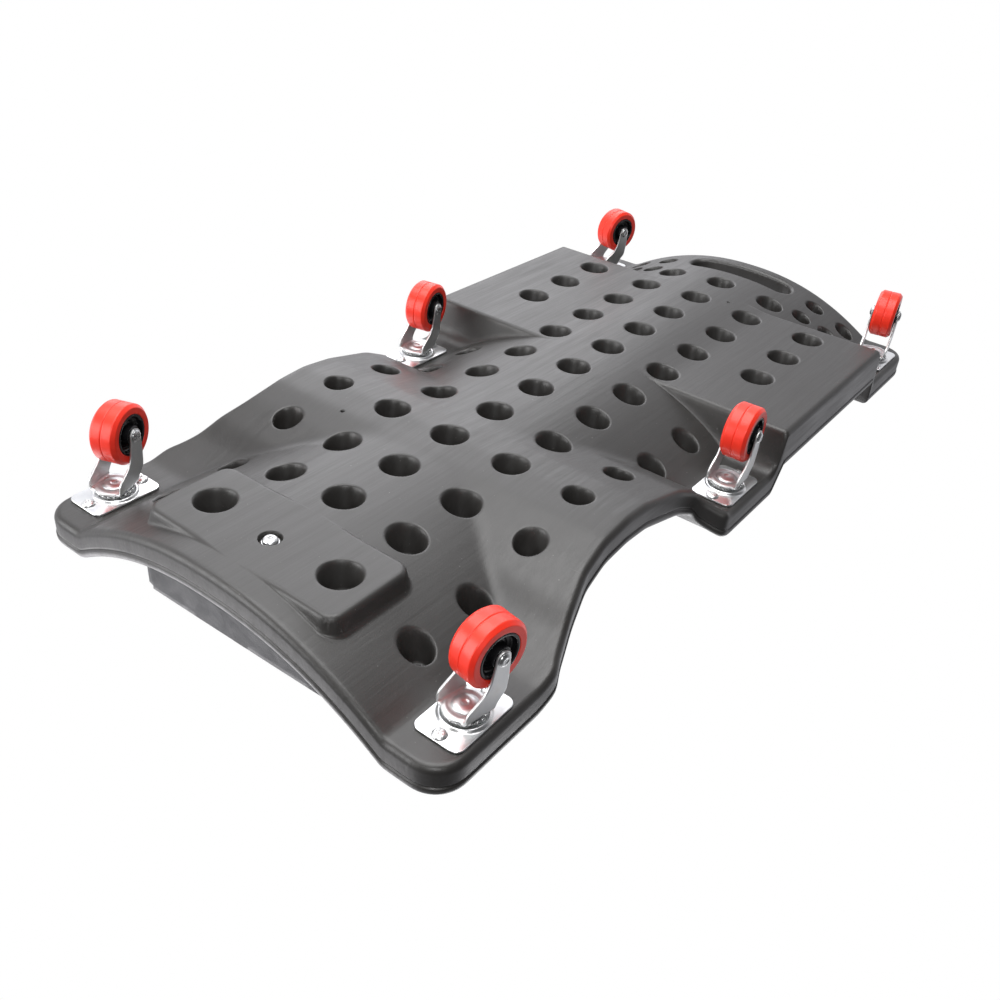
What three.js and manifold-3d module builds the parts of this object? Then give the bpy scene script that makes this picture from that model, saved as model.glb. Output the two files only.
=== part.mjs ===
// Mechanic creeper: a hollow blow-moulded deck on six swivel casters, with a bolted headrest.
// Millimetres, +Z up. The floor is z = 0 and the origin is on it, under the middle of the deck.
// +X points to the hand slot, -X to the headrest, and +Y to the right side of the view from below.
import * as THREE from "three";
import { mergeVertices } from "three/addons/utils/BufferGeometryUtils.js";
import Module from "manifold-3d";

const wasm = await Module();
wasm.setup();

// Clearances
const fitGap = 0.3; // between pieces that touch
const overrun = 20; // how far a cut runs past the face that it opens

// Casters
const casterEndInset = 57; // from the deck's ends to the outer kingpins
const casterSideInset = 27.8; // from the deck's sides to the kingpins
const wheelRadius = 27.3;
const treadWidth = 25.2;
const treadBevel = 3;
const treadThickness = 8.6;
const wheelSides = 16;
const hubWeb = 6; // how far the hub's web lies inside the tread's side
const hubRim = 2.2;
const smallSides = 8; // of round pieces under a dozen millimetres across
const hubBossRadius = 8.5;
const trail = 17.5; // from the kingpin's axis to the axle
const forkDrop = 43.3; // from the axle up to the crown's lower face
const forkThickness = 2;
const forkWidth = 32.2;
const forkBend = 3;
const crownRadius = 17.5;
const legEndRadius = 6.7;
const axleRadius = 4;
const axleHeadRadius = 5.6;
const axleHeadHeight = 2;
const kingpinRadius = 5;
const kingpinHeadRadius = 10;
const kingpinHeadHeight = 2;
const raceHeight = 2.9;
const raceOuterRadius = 17.3;
const raceInnerRadius = 13.6;
const raceBalls = 9;
const bossRadius = 20.8;
const bossHeight = 2.5;
const plateLength = 66.4;
const plateWidth = 42.6;
const plateThickness = 2;
const plateCorner = 7.2;
const screwSpacing = 54;
const screwRadius = 2.2;
const screwLength = 18;
const screwHeadRadius = 5.9;
const screwHeadHeight = 2.6;

// Rest angles of the six forks, from +X towards +Y, and the wheel centre's side of the kingpin
const restYaws = {
  near_left: -20.3,
  near_right: 9.5,
  mid_left: -9.7,
  mid_right: -2.8,
  far_left: 13.8,
  far_right: -9.6,
};

// Side outline of a fork's leg: shares of the trail forwards and of the fork's drop upwards
const legFrontShares = [[-0.8, 1.06], [-0.69, 0.8], [-0.21, 0.67], [0.14, 0.59], [0.41, 0.4], [0.55, 0.16]];
const legRearShares = [[1.38, 0.41], [1.3, 0.72], [0.9, 0.87], [0.74, 1.06]];

// Deck
const deckLength = 914;
const deckWidth = 452;
const deckThickness = 28;
const deckWall = 3.2;
const deckEdge = 6; // rounding of the rim, made as one chamfer
const deckCorner = 28;
const archRise = 50; // how far the middle of the trough hangs below the caster pads
const padMargin = 4.9; // of flat pad between a caster plate and the trough
const archPower = 2.2;
const ridgeOffset = 182; // the shoulder ridge, headrest side of the middle casters
const ridgeDrop = 52;
const ridgeNearMargin = 21.8; // of flat between the ridge and the plates of the near casters
const ridgeFarMargin = 7.8; // and of the middle casters
const scallopStart = 127; // from the headrest end
const scallopLength = 282;
const scallopDepth = 33;
const stationStep = 75; // widest spacing of the sections along the deck
const stationMerge = 6.5;

// Shares of the ridge's reach and of its drop, of the scallop's length and depth, of the corner's radius,
// and of the arch's half width
const ridgeNearShares = [[0, 0], [0.2, 0.06], [0.41, 0.24], [0.6, 0.48], [0.72, 0.72], [0.86, 0.88], [1, 1]];
const ridgeFarShares = [[0, 0], [0.24, 0.05], [0.48, 0.2], [0.64, 0.3], [0.88, 0.6], [0.94, 0.84], [1, 1]];
const scallopShares = [
  [0, 0], [0.06, 0.12], [0.17, 0.55], [0.29, 0.88], [0.4, 0.98], [0.65, 1], [0.96, 0.88], [1, 0],
];
const cornerShares = [0.55, 1];
const archShares = [0, 0.27, 0.52, 0.76, 1];

// Blocks under the deck
const nearBlockInset = 17; // from the headrest end
const nearBlockLength = 98;
const nearBlockWidth = 220;
const nearBlockCorner = 16;
const nearBlockDepth = 24; // of the block's own solid, up into the deck
const trayBlockStart = 60;
const trayBlockMargin = 30.8; // from the block to the plate of the far caster
const trayBlockDrop = 43.5;
const blockDraft = 6;
const blockOverlap = 10; // how far a block's solid reaches into the deck

// Tool trays in the top
const trayInner = 139;
const trayLip = 15; // width of the tray's outer wall
const trayLipHeight = 16.6;
const trayEndWall = 20; // from the block's end to the tray
const stepStart = 75; // where the rim steps down to the tray's lip
const stepRun = 17; // and how far the step slopes back at the headrest end
const stepEndInset = 7; // from the block's end to where the rim steps up again
const trayCorner = 12;
const trayDraft = 4;

// Hand slot
const slotLength = 140;
const slotWidth = 34;
const slotBar = 20; // of material between the slot and the end

// Dimples
const dimplePitch = 67.7;
const dimpleFirst = 139.8; // from the headrest end to the first row
const dimpleRadius = 17.5;
const dimpleTopRadius = 11;
const dimpleOuterRadius = 14; // of the rows nearest the sides
const dimpleOuterTopRadius = 9;
const dimpleSkin = 4; // what stays above a dimple
const dimpleSides = 8;
const pillarSides = 6; // of the hollow's side of a dimple
const dimpleRowSpacing = 70;
const dimpleOuterSpacing = 141;
const dimpleTraySpacing = 148.4;
const smallDimpleRadius = 11.5;
const smallDimpleTopRadius = 8;
const ventRadius = 2.2;
const dimpleRows = 11;
const outerDimpleRows = [-1, 0, 1, 2, 3, 4, 5];
const trayDimpleRows = [7, 8, 9];

// Small dimples: shares of the pitch from the hand slot end, and of the row spacing from the middle.
// Vents: shares of the pitch from the first row, and of the row spacing from the middle.
const smallDimpleShares = [[1.18, 1.54], [1.06, 2.03], [0.55, 1.54], [0.49, 2.16]];
const ventShares = [[1.5, -1.46], [9.28, 0.51]];

// Headrest
const headrestInset = 17; // from the headrest end to its face
const headrestLength = 112;
const headrestWidth = 208;
const headrestCrown = 5;
const headrestDrawIn = 1;
const headrestEdge = 3;
const boardCorner = 7;
const boardLength = 84;
const boardWidth = 118;
const boardThickness = 9;
const boltRadius = 4;
const boltHeadRadius = 6.4;
const boltHeadHeight = 3.4;
const boltInset = 61; // from the headrest end
const washerRadius = 7.3;
const washerThickness = 1.5;
const wellRadius = 9.2;
const wellDepth = 5;
const tnutFlangeRadius = 11;
const tnutFlangeThickness = 1.6;
const tnutBarrelRadius = 5.4;
const columnRadius = 8; // solid columns round the screws inside the deck
const boltColumnRadius = 13;

const halfLength = deckLength / 2;
const halfWidth = deckWidth / 2;
const casterPitch = halfLength - casterEndInset; // from one pair of casters to the next
const casterTrack = deckWidth - 2 * casterSideInset; // between left and right kingpins
const archHalf = (casterTrack - plateWidth) / 2 - padMargin; // half width of the trough
const ridgeNearReach = casterPitch - plateLength / 2 - ridgeNearMargin - ridgeOffset;
const ridgeFarReach = ridgeOffset - plateLength / 2 - ridgeFarMargin;
const trayBlockEnd = casterPitch - plateLength / 2 - trayBlockMargin;
const stepEnd = trayBlockEnd - stepEndInset;

// Heights, worked up from the floor through one caster
const crownLow = wheelRadius + forkDrop;
const crownHigh = crownLow + forkThickness;
const raceLow = crownHigh + fitGap;
const bossLow = raceLow + raceHeight + fitGap;
const plateLow = bossLow + bossHeight;
const plateHigh = plateLow + plateThickness;
const padLevel = plateHigh + fitGap;
const railLevel = padLevel + deckThickness;

// Places worked out from the sizes
const ridgeX = -ridgeOffset;
const boltX = boltInset - halfLength;
const slotX = halfLength - slotBar - slotWidth / 2;
const archFoot = padLevel - archRise;
const trayBlockFloor = padLevel - trayBlockDrop;
const trayFloor = trayBlockFloor + deckThickness;
const lipLevel = trayFloor + trayLipHeight;
const trayOuter = halfWidth - trayLip;
const dimpleDepth = deckThickness - dimpleSkin;
const legInner = forkWidth / 2 - forkThickness;

// A list of [x, y] shares read as a curve of straight stretches
function along(shares, at) {
  const t = Math.min(Math.max(at, 0), 1);
  for (let i = 1; i < shares.length; i++) {
    const [x0, y0] = shares[i - 1];
    const [x1, y1] = shares[i];
    if (t <= x1) return y0 + ((y1 - y0) * (t - x0)) / (x1 - x0);
  }
  return shares.at(-1)[1];
}

// A closed geometry as a solid whose faces point out
function solid(geometry) {
  const bare = geometry.clone();
  bare.deleteAttribute("normal");
  bare.deleteAttribute("uv");
  const merged = mergeVertices(bare, 1e-4);
  const vertProperties = new Float32Array(merged.attributes.position.array);
  const triVerts = new Uint32Array(merged.index.array);
  const made = new wasm.Manifold(new wasm.Mesh({ numProp: 3, vertProperties, triVerts }));
  if (made.volume() >= 0) return made;
  for (let i = 0; i < triVerts.length; i += 3) {
    [triVerts[i], triVerts[i + 1]] = [triVerts[i + 1], triVerts[i]];
  }
  return new wasm.Manifold(new wasm.Mesh({ numProp: 3, vertProperties, triVerts }));
}

function geometryOf(body) {
  const mesh = body.getMesh();
  const geometry = new THREE.BufferGeometry();
  geometry.setAttribute("position", new THREE.BufferAttribute(new Float32Array(mesh.vertProperties), 3));
  geometry.setIndex(new THREE.BufferAttribute(new Uint32Array(mesh.triVerts), 1));
  geometry.computeVertexNormals();
  return geometry;
}

function joined(solids) {
  return solids.reduce((all, next) => all.add(next));
}

// Rings of equally many [x, y, z] points, skinned in order and closed at both ends
function lofted(rings) {
  const count = rings[0].length;
  const position = rings.flat(2);
  const index = [];
  for (let r = 0; r + 1 < rings.length; r++) {
    for (let i = 0; i < count; i++) {
      const a = r * count + i;
      const b = r * count + ((i + 1) % count);
      index.push(a, b, b + count, a, b + count, a + count);
    }
  }
  const last = (rings.length - 1) * count;
  for (let i = 0, j = count - 1; i < j - 1; i++, j--) {
    index.push(i, j, i + 1);
    index.push(last + i, last + i + 1, last + j);
    if (i + 1 < j - 1) {
      index.push(i + 1, j, j - 1);
      index.push(last + i + 1, last + j - 1, last + j);
    }
  }
  const geometry = new THREE.BufferGeometry();
  geometry.setAttribute("position", new THREE.BufferAttribute(new Float32Array(position), 3));
  geometry.setIndex(index);
  return solid(geometry);
}

// A profile of [radius, height] points turned about Z, or about Y for a wheel
function turned(profile, sides, { aboutY = false, start = 0 } = {}) {
  const points = profile.map(([r, h]) => new THREE.Vector2(r, h));
  if (profile[0][0] > 0) points.push(points[0].clone());
  const geometry = new THREE.LatheGeometry(points, sides, start, 2 * Math.PI);
  if (!aboutY) geometry.rotateX(Math.PI / 2);
  return solid(geometry);
}

function cylinder(radius, low, high, sides, x = 0, y = 0) {
  return cone(radius, radius, low, high, sides, x, y);
}

// A round hole whose flats lie at its radius, so that a pin can turn in it
function bore(radius, low, high, sides, x = 0, y = 0) {
  return cylinder(radius / Math.cos(Math.PI / sides), low, high, sides, x, y);
}

function cone(lowRadius, highRadius, low, high, sides, x, y) {
  const ring = (radius, z) =>
    Array.from({ length: sides }, (_, i) => {
      const angle = (2 * Math.PI * i) / sides;
      return [x + radius * Math.cos(angle), y + radius * Math.sin(angle), z];
    });
  return lofted([ring(lowRadius, low), ring(highRadius, high)]);
}

// Points of a rectangle with round corners, centred on x, y
function roundedRectangle(length, width, radius, steps, x = 0, y = 0) {
  const points = [];
  const quarter = Math.PI / 2;
  [[1, 1], [-1, 1], [-1, -1], [1, -1]].forEach(([sx, sy], k) => {
    for (let i = 0; i <= steps; i++) {
      const angle = quarter * (k + i / steps);
      points.push([
        x + sx * (length / 2 - radius) + radius * Math.cos(angle),
        y + sy * (width / 2 - radius) + radius * Math.sin(angle),
      ]);
    }
  });
  return points;
}

// A block with round corners whose ends differ by its draft
function draftedBlock(length, width, radius, low, high, lowInset, highInset, x, y) {
  const ring = (inset, z) =>
    roundedRectangle(length - 2 * inset, width - 2 * inset, radius, 3, x, y).map(([px, py]) => [px, py, z]);
  return lofted([ring(lowInset, low), ring(highInset, high)]);
}

function extruded(outline, holes, depth) {
  const shape = new THREE.Shape(outline.map(([x, y]) => new THREE.Vector2(x, y)));
  shape.holes = holes.map((hole) => new THREE.Path(hole.map(([x, y]) => new THREE.Vector2(x, y))));
  return new THREE.ExtrudeGeometry(shape, { depth, bevelEnabled: false, curveSegments: 1 });
}

function circle(radius, sides, x = 0, y = 0) {
  return Array.from({ length: sides }, (_, i) => {
    const angle = (-2 * Math.PI * i) / sides;
    return [x + radius * Math.cos(angle), y + radius * Math.sin(angle)];
  });
}

// How far the deck's underside hangs below the caster pads
function dropAt(x, y) {
  const arch = archRise * (1 - Math.min(Math.abs(y) / archHalf, 1) ** archPower);
  const away = x - ridgeX;
  const fall = away < 0
    ? along(ridgeNearShares, -away / ridgeNearReach)
    : along(ridgeFarShares, away / ridgeFarReach);
  return Math.max(arch, ridgeDrop * (1 - fall));
}

// Half width of the deck's outline
function halfWidthAt(x) {
  const fromEnd = Math.max(halfLength - Math.abs(x), 0);
  const corner = Math.max(deckCorner - fromEnd, 0);
  const cornerLoss = deckCorner - Math.sqrt(deckCorner ** 2 - corner ** 2);
  const scallop = scallopDepth * along(scallopShares, (x + halfLength - scallopStart) / scallopLength);
  return halfWidth - cornerLoss - scallop;
}

// Sections of the deck along X: every feature of the outline and the ridge, then even fillers
function deckStations() {
  const wanted = [-halfLength, halfLength, ridgeX, 0];
  for (const end of [-1, 1]) {
    wanted.push(end * (halfLength - deckEdge));
    cornerShares.forEach((share) => wanted.push(end * (halfLength - deckCorner * share)));
  }
  ridgeNearShares.forEach(([share]) => wanted.push(ridgeX - ridgeNearReach * share));
  ridgeFarShares.forEach(([share]) => wanted.push(ridgeX + ridgeFarReach * share));
  scallopShares.forEach(([share]) => wanted.push(scallopStart - halfLength + scallopLength * share));
  wanted.sort((a, b) => a - b);
  const kept = [-halfLength];
  for (const x of wanted) {
    const last = kept.at(-1);
    if (x - last < stationMerge || (x !== halfLength && halfLength - x < stationMerge)) continue;
    const parts = Math.ceil((x - last) / stationStep);
    for (let i = 1; i < parts; i++) kept.push(last + ((x - last) * i) / parts);
    kept.push(x);
  }
  return kept;
}

// The deck without its blocks, grown inwards by an inset, with a chamfered rim
function deckBase(inset, lift = 0) {
  const edge = Math.max(deckEdge - inset, deckEdge / 3);
  const columns = [...archShares.slice(1).reverse().map((share) => -share), ...archShares];
  const shrink = (halfLength - inset) / halfLength;
  const rings = deckStations().map((x, i, all) => {
    const pulled = i === 0 || i === all.length - 1 ? edge : 0;
    const side = halfWidthAt(x) - inset;
    const under = (y) => padLevel - dropAt(x, y) + inset + lift;
    const over = (y) => padLevel - dropAt(x, y) + deckThickness - inset + lift;
    const knee = Math.min(archHalf, side - 2 * edge);
    const flat = [edge - side, ...columns.map((share) => share * knee), side - edge];
    return [
      [x * shrink, -side, under(-side) + edge],
      ...flat.map((y) => [x * shrink, y, under(y) + pulled]),
      [x * shrink, side, under(side) + edge],
      [x * shrink, side, over(side) - edge],
      ...flat.toReversed().map((y) => [x * shrink, y, over(y) - pulled]),
      [x * shrink, -side, over(-side) - edge],
    ];
  });
  return lofted(rings);
}

function nearBlock(inset) {
  return draftedBlock(
    nearBlockLength - 2 * inset, nearBlockWidth - 2 * inset, nearBlockCorner - inset,
    archFoot + inset, archFoot + nearBlockDepth, blockDraft, 0,
    nearBlockInset + nearBlockLength / 2 - halfLength, 0,
  );
}

// The block under one tool tray: its inner edge starts where the arch reaches the block's level
function trayBlock(inset, side) {
  const inner = archHalf * (1 - trayBlockDrop / archRise) ** (1 / archPower);
  const outer = halfWidth - inset;
  const floor = trayBlockFloor + inset;
  const roof = padLevel + blockOverlap;
  const section = [
    [inner, floor],
    [outer - deckEdge, floor],
    [outer, floor + deckEdge],
    [outer, roof],
    [archHalf, roof],
    [inner, trayBlockFloor + blockOverlap],
  ];
  const ring = (end, into) =>
    section.map(([y, z]) => {
      const draft = (blockDraft * Math.max(padLevel - z, 0)) / trayBlockDrop;
      return [end + into * (inset + draft), side * y, z];
    });
  return lofted([ring(trayBlockStart, 1), ring(trayBlockEnd, -1)]);
}

function trayPocket(inset, side) {
  const length = trayBlockEnd - trayBlockStart - 2 * trayEndWall + 2 * inset;
  const width = trayOuter - trayInner + 2 * inset;
  return draftedBlock(
    length, width, trayCorner + inset, trayFloor - inset, railLevel + overrun, trayDraft, 0,
    (trayBlockStart + trayBlockEnd) / 2, (side * (trayInner + trayOuter)) / 2,
  );
}

// Over each tray the rim steps down to the tray's lip
function rimStep(inset, side) {
  const low = lipLevel - inset;
  const high = railLevel + overrun;
  const run = (stepRun * (high - low)) / (railLevel - lipLevel);
  const section = [
    [stepStart - inset, low],
    [stepEnd + inset, low],
    [stepEnd + inset, high],
    [stepStart - inset - run, high],
  ];
  const ring = (y) => section.map(([x, z]) => [x, side * y, z]);
  return lofted([ring(trayInner - inset), ring(halfWidth + overrun)]);
}

function handSlot(inset) {
  const width = slotWidth + 2 * inset;
  return draftedBlock(
    width, slotLength + 2 * inset, width / 2 - fitGap, archFoot - overrun, railLevel, 0, 0, slotX, 0,
  );
}

const rowX = (row) => dimpleFirst - halfLength + dimplePitch * row;
const underside = (x, y) => padLevel - dropAt(x, y);

// Where the dimples stand: [x, y, level of the skin they start from, radius, radius at the top]
function dimplePlaces() {
  const places = [];
  const put = (x, y, level, radius = dimpleRadius, topRadius = dimpleTopRadius) => {
    places.push([x, y, level, radius, topRadius]);
    if (y > 0) places.push([x, -y, level, radius, topRadius]);
  };
  for (let row = 0; row < dimpleRows; row++) {
    put(rowX(row), 0, underside(rowX(row), 0));
    put(rowX(row), dimpleRowSpacing, underside(rowX(row), dimpleRowSpacing));
  }
  for (const row of outerDimpleRows) {
    const level = underside(rowX(row), dimpleOuterSpacing);
    put(rowX(row), dimpleOuterSpacing, level, dimpleOuterRadius, dimpleOuterTopRadius);
  }
  for (const row of trayDimpleRows) put(rowX(row), dimpleTraySpacing, trayBlockFloor);
  put(nearBlockInset + nearBlockLength / 2 - halfLength, dimpleRowSpacing, archFoot);
  for (const [back, across] of smallDimpleShares) {
    const x = halfLength - back * dimplePitch;
    const y = across * dimpleRowSpacing;
    put(x, y, underside(x, y), smallDimpleRadius, smallDimpleTopRadius);
  }
  return places;
}

function dimples(inset) {
  return joined(
    dimplePlaces().map(([x, y, level, radius, topRadius]) => {
      const sides = inset > 0 ? pillarSides : dimpleSides;
      const corner = 1 / Math.cos(Math.PI / sides);
      const slope = (radius - topRadius) / dimpleDepth;
      return cone(
        (radius + inset + slope * overrun) * corner, (topRadius + inset) * corner,
        level - overrun, level + dimpleDepth + inset, sides, x, y,
      );
    }),
  );
}

const casterPlaces = [];
for (const [row, x] of [["near", -casterPitch], ["mid", 0], ["far", casterPitch]]) {
  for (const [side, y] of [["left", -casterTrack / 2], ["right", casterTrack / 2]]) {
    casterPlaces.push({ name: row + "_" + side, x, y });
  }
}
const screwSides = [["near", -1], ["far", 1]];

function screwColumns(radius, low, high) {
  return joined(
    casterPlaces.flatMap(({ x, y }) =>
      screwSides.map(([, end]) => cylinder(radius, low, high, smallSides, x + (end * screwSpacing) / 2, y)),
    ),
  );
}

// The deck is its outer form less the chamber inside, which the vents open
function makeDeck() {
  const form = (inset) =>
    joined([deckBase(inset), nearBlock(inset), trayBlock(inset, 1), trayBlock(inset, -1)]);
  const trayCuts = (inset, side) => trayPocket(inset, side).add(rimStep(inset, side));
  const cutters = (inset) =>
    joined([trayCuts(inset, 1), trayCuts(inset, -1), handSlot(inset), dimples(inset)]);
  const well = cylinder(wellRadius, archFoot - overrun, archFoot + wellDepth, 16, boltX);
  const boltHole = cylinder(boltRadius + fitGap, archFoot - overrun, railLevel, 12, boltX);
  const screwHoles = screwColumns(screwRadius + fitGap, padLevel - overrun, padLevel + screwLength);
  const outer = form(0).subtract(cutters(0)).subtract(well).subtract(boltHole).subtract(screwHoles);
  const columns = screwColumns(columnRadius, archFoot, railLevel)
    .add(cylinder(boltColumnRadius, archFoot - overrun, railLevel, 16, boltX));
  const hollow = form(deckWall).subtract(cutters(deckWall)).subtract(columns);
  const chamber = hollow.decompose().sort((a, b) => b.volume() - a.volume())[0];
  const vents = ventShares.map(([row, across]) => {
    const y = across * dimpleRowSpacing;
    const roof = underside(rowX(row), y) + 2 * deckWall;
    return cylinder(ventRadius, archFoot - overrun, roof, smallSides, rowX(row), y);
  });
  return outer.subtract(chamber).subtract(joined(vents));
}

// The headrest pad: crowned on top, its sides drawn in between the corners, its foot shaped by the trough
function makeHeadrestPad(board, nut) {
  const stations = 13;
  const depthShares = [0, 0.07, 0.22, 0.4, 0.6, 0.78, 0.93, 1];
  const rings = Array.from({ length: stations }, (_, i) => {
    const across = Math.sin(((i / (stations - 1)) * 2 - 1) * (Math.PI / 2));
    const y = across * (headrestWidth / 2 - headrestDrawIn);
    const rounding = i === 0 || i === stations - 1 ? headrestEdge : 0;
    const drawn = headrestDrawIn * (1 - across ** 4);
    const low = headrestInset - halfLength + drawn;
    const length = headrestLength - 2 * drawn;
    const top = (share) =>
      railLevel + headrestCrown * (1 - across ** 2) * (1 - (2 * share - 1) ** 2) - rounding;
    const place = (share) => low + rounding + (length - 2 * rounding) * share;
    const foot = (x, at) => padLevel - dropAt(x, at) + deckThickness / 2;
    const sideRise = (share) => (share === 0 || share === 1 ? headrestEdge : 0);
    return [
      ...depthShares.map((share) => [place(share), y, foot(place(share), y)]),
      ...depthShares.toReversed().map((share) => [place(share), y, top(share) - sideRise(share)]),
    ];
  });
  return lofted(rings).subtract(deckBase(0, fitGap)).subtract(board).subtract(nut);
}

const boardX = boltX;
const boardLow = padLevel - dropAt(boardX, boardWidth / 2) + deckThickness + fitGap;

const boardHigh = boardLow + boardThickness;

function boardBlock(grow) {
  return draftedBlock(
    boardLength + 2 * grow, boardWidth + 2 * grow, boardCorner, boardLow - (grow > 0 ? overrun : 0),
    boardHigh + grow, 0, 0, boardX, 0,
  );
}

function tnutSolid(grow) {
  const flangeLow = boardHigh + fitGap;
  const flangeHigh = flangeLow + tnutFlangeThickness;
  if (grow > 0) return cylinder(tnutFlangeRadius + grow, boardLow, flangeHigh + grow, 12, boardX);
  return cylinder(tnutFlangeRadius, flangeLow, flangeHigh, 12, boardX)
    .add(cylinder(tnutBarrelRadius, boardLow, flangeLow + fitGap, 12, boardX))
    .subtract(bore(boltRadius + fitGap, boardLow - overrun, flangeHigh + overrun, 12, boardX));
}

function makeBoard() {
  return boardBlock(0)
    .subtract(deckBase(0, fitGap))
    .subtract(bore(tnutBarrelRadius + fitGap, boardLow - overrun, boardHigh + overrun, 12, boardX));
}

function makeWasher() {
  const high = archFoot + wellDepth - fitGap;
  const low = high - washerThickness;
  const inner = boltRadius + fitGap;
  return turned([[inner, low], [washerRadius, low], [washerRadius, high], [inner, high]], 12)
    .translate([boltX, 0, 0]);
}

function makeBolt() {
  const seat = archFoot + wellDepth - 2 * fitGap - washerThickness;
  return turned([
    [0, seat - boltHeadHeight],
    [boltHeadRadius * 0.7, seat - boltHeadHeight],
    [boltHeadRadius, seat - boltHeadHeight * 0.4],
    [boltHeadRadius, seat],
    [boltRadius, seat],
    [boltRadius, boardHigh],
    [0, boardHigh],
  ], 12).translate([boltX, 0, 0]);
}

// Caster pieces, with the kingpin's axis on x = y = 0 and the axle at +X
function makePlate() {
  const outline = roundedRectangle(plateLength, plateWidth, plateCorner, 2);
  const holes = [-1, 1].map((end) => circle(screwRadius + fitGap, smallSides, (end * screwSpacing) / 2));
  const sheet = solid(extruded(outline, holes, plateThickness).translate(0, 0, plateLow));
  const boss = cone(bossRadius - bossHeight, bossRadius, bossLow, plateLow + plateThickness / 4, 16, 0, 0);
  return sheet.add(boss).subtract(bore(kingpinRadius + fitGap, bossLow - overrun, padLevel, smallSides));
}

function makeScrew() {
  const seat = plateLow - fitGap;
  return turned([
    [0, seat - screwHeadHeight],
    [screwHeadRadius * 0.72, seat - screwHeadHeight],
    [screwHeadRadius, seat],
    [screwRadius, seat],
    [screwRadius, padLevel + screwLength - screwRadius],
    [0, padLevel + screwLength - fitGap],
  ], smallSides);
}

// The race is one ring that swells at every ball
function makeRace() {
  const stations = raceBalls * 2;
  const middle = (raceInnerRadius + raceOuterRadius) / 2;
  const rings = Array.from({ length: stations }, (_, i) => {
    const swell = i % 2 ? 0.55 : 1;
    const radial = ((raceOuterRadius - raceInnerRadius) / 2) * swell;
    const rise = (raceHeight / 2) * swell;
    const angle = (2 * Math.PI * i) / stations;
    return [[-1, 0], [0, -1], [1, 0], [0, 1]].map(([out, up]) => [
      (middle + out * radial) * Math.cos(angle),
      (middle + out * radial) * Math.sin(angle),
      raceLow + raceHeight / 2 + up * rise,
    ]);
  });
  const position = rings.flat(2);
  const index = [];
  for (let r = 0; r < stations; r++) {
    for (let i = 0; i < 4; i++) {
      const a = r * 4 + i;
      const b = r * 4 + ((i + 1) % 4);
      const c = ((r + 1) % stations) * 4 + i;
      const d = ((r + 1) % stations) * 4 + ((i + 1) % 4);
      index.push(a, b, d, a, d, c);
    }
  }
  const geometry = new THREE.BufferGeometry();
  geometry.setAttribute("position", new THREE.BufferAttribute(new Float32Array(position), 3));
  geometry.setIndex(index);
  return solid(geometry);
}

// The fork is a bent U section cut to the side outline of its legs, on a round crown
function makeFork() {
  const half = forkWidth / 2;
  const low = wheelRadius - legEndRadius - overrun;
  const section = [
    [-half, low], [-half, crownHigh - forkBend], [-half + forkBend, crownHigh],
    [half - forkBend, crownHigh], [half, crownHigh - forkBend], [half, low],
    [legInner, low], [legInner, crownLow], [-legInner, crownLow], [-legInner, low],
  ];
  const reach = crownRadius + trail;
  const bent = solid(
    extruded(section, [], 2 * reach)
      .translate(0, 0, -reach)
      .rotateX(Math.PI / 2)
      .rotateZ(Math.PI / 2),
  );
  const place = ([u, z]) => [u * trail, wheelRadius + z * forkDrop];
  const arc = Array.from({ length: 5 }, (_, i) => {
    const angle = Math.PI * (1 + i / 4);
    return [trail + legEndRadius * Math.cos(angle), wheelRadius + legEndRadius * Math.sin(angle)];
  });
  const outline = [...legFrontShares.map(place), ...arc, ...legRearShares.map(place)];
  const side = solid(extruded(outline, [], forkWidth + 2 * overrun).rotateX(Math.PI / 2)
    .translate(0, half + overrun, 0));
  const axleHole = turned([
    [0, -half - overrun],
    [axleRadius + fitGap, -half - overrun],
    [axleRadius + fitGap, half + overrun],
    [0, half + overrun],
  ], smallSides, { aboutY: true }).translate([trail, 0, wheelRadius]);
  return bent
    .intersect(side)
    .add(cylinder(crownRadius, crownLow, crownHigh, 16))
    .subtract(bore(kingpinRadius + fitGap, crownLow - overrun, crownHigh + overrun, smallSides))
    .subtract(axleHole);
}

function makeKingpin() {
  const seat = crownLow - fitGap;
  return turned([
    [0, seat - kingpinHeadHeight],
    [kingpinHeadRadius * 0.72, seat - kingpinHeadHeight],
    [kingpinHeadRadius, seat],
    [kingpinRadius, seat],
    [kingpinRadius, plateHigh],
    [0, plateHigh],
  ], smallSides);
}

function makeAxle() {
  const seat = forkWidth / 2 + fitGap;
  const head = seat + axleHeadHeight;
  const half = [
    [0, head],
    [axleHeadRadius * 0.7, head],
    [axleHeadRadius, seat],
    [axleRadius, seat],
  ];
  const profile = [...half.map(([r, h]) => [r, -h]), ...half.toReversed()];
  return turned(profile, smallSides, { aboutY: true });
}

// Wheel pieces: the polygon's flats lie at the stated radii, and one of them meets the floor
function wheelPiece(profile) {
  const corner = 1 / Math.cos(Math.PI / wheelSides);
  return turned(profile.map(([r, h]) => [r * corner, h]), wheelSides, {
    aboutY: true,
    start: Math.PI / wheelSides,
  });
}

function makeTread() {
  const half = treadWidth / 2;
  const inner = wheelRadius - treadThickness;
  return wheelPiece([
    [inner, -half],
    [wheelRadius - treadBevel, -half],
    [wheelRadius, treadBevel - half],
    [wheelRadius, half - treadBevel],
    [wheelRadius - treadBevel, half],
    [inner, half],
  ]);
}

function makeHub() {
  const outer = wheelRadius - treadThickness - fitGap;
  const half = treadWidth / 2;
  const web = half - hubWeb;
  const boss = legInner - fitGap;
  const bore = axleRadius + fitGap;
  const face = [
    [bore, boss],
    [hubBossRadius, boss],
    [hubBossRadius, web],
    [outer - hubRim, web],
    [outer, half],
  ];
  return wheelPiece([...face.map(([r, h]) => [r, -h]), ...face.toReversed()]);
}

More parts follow.
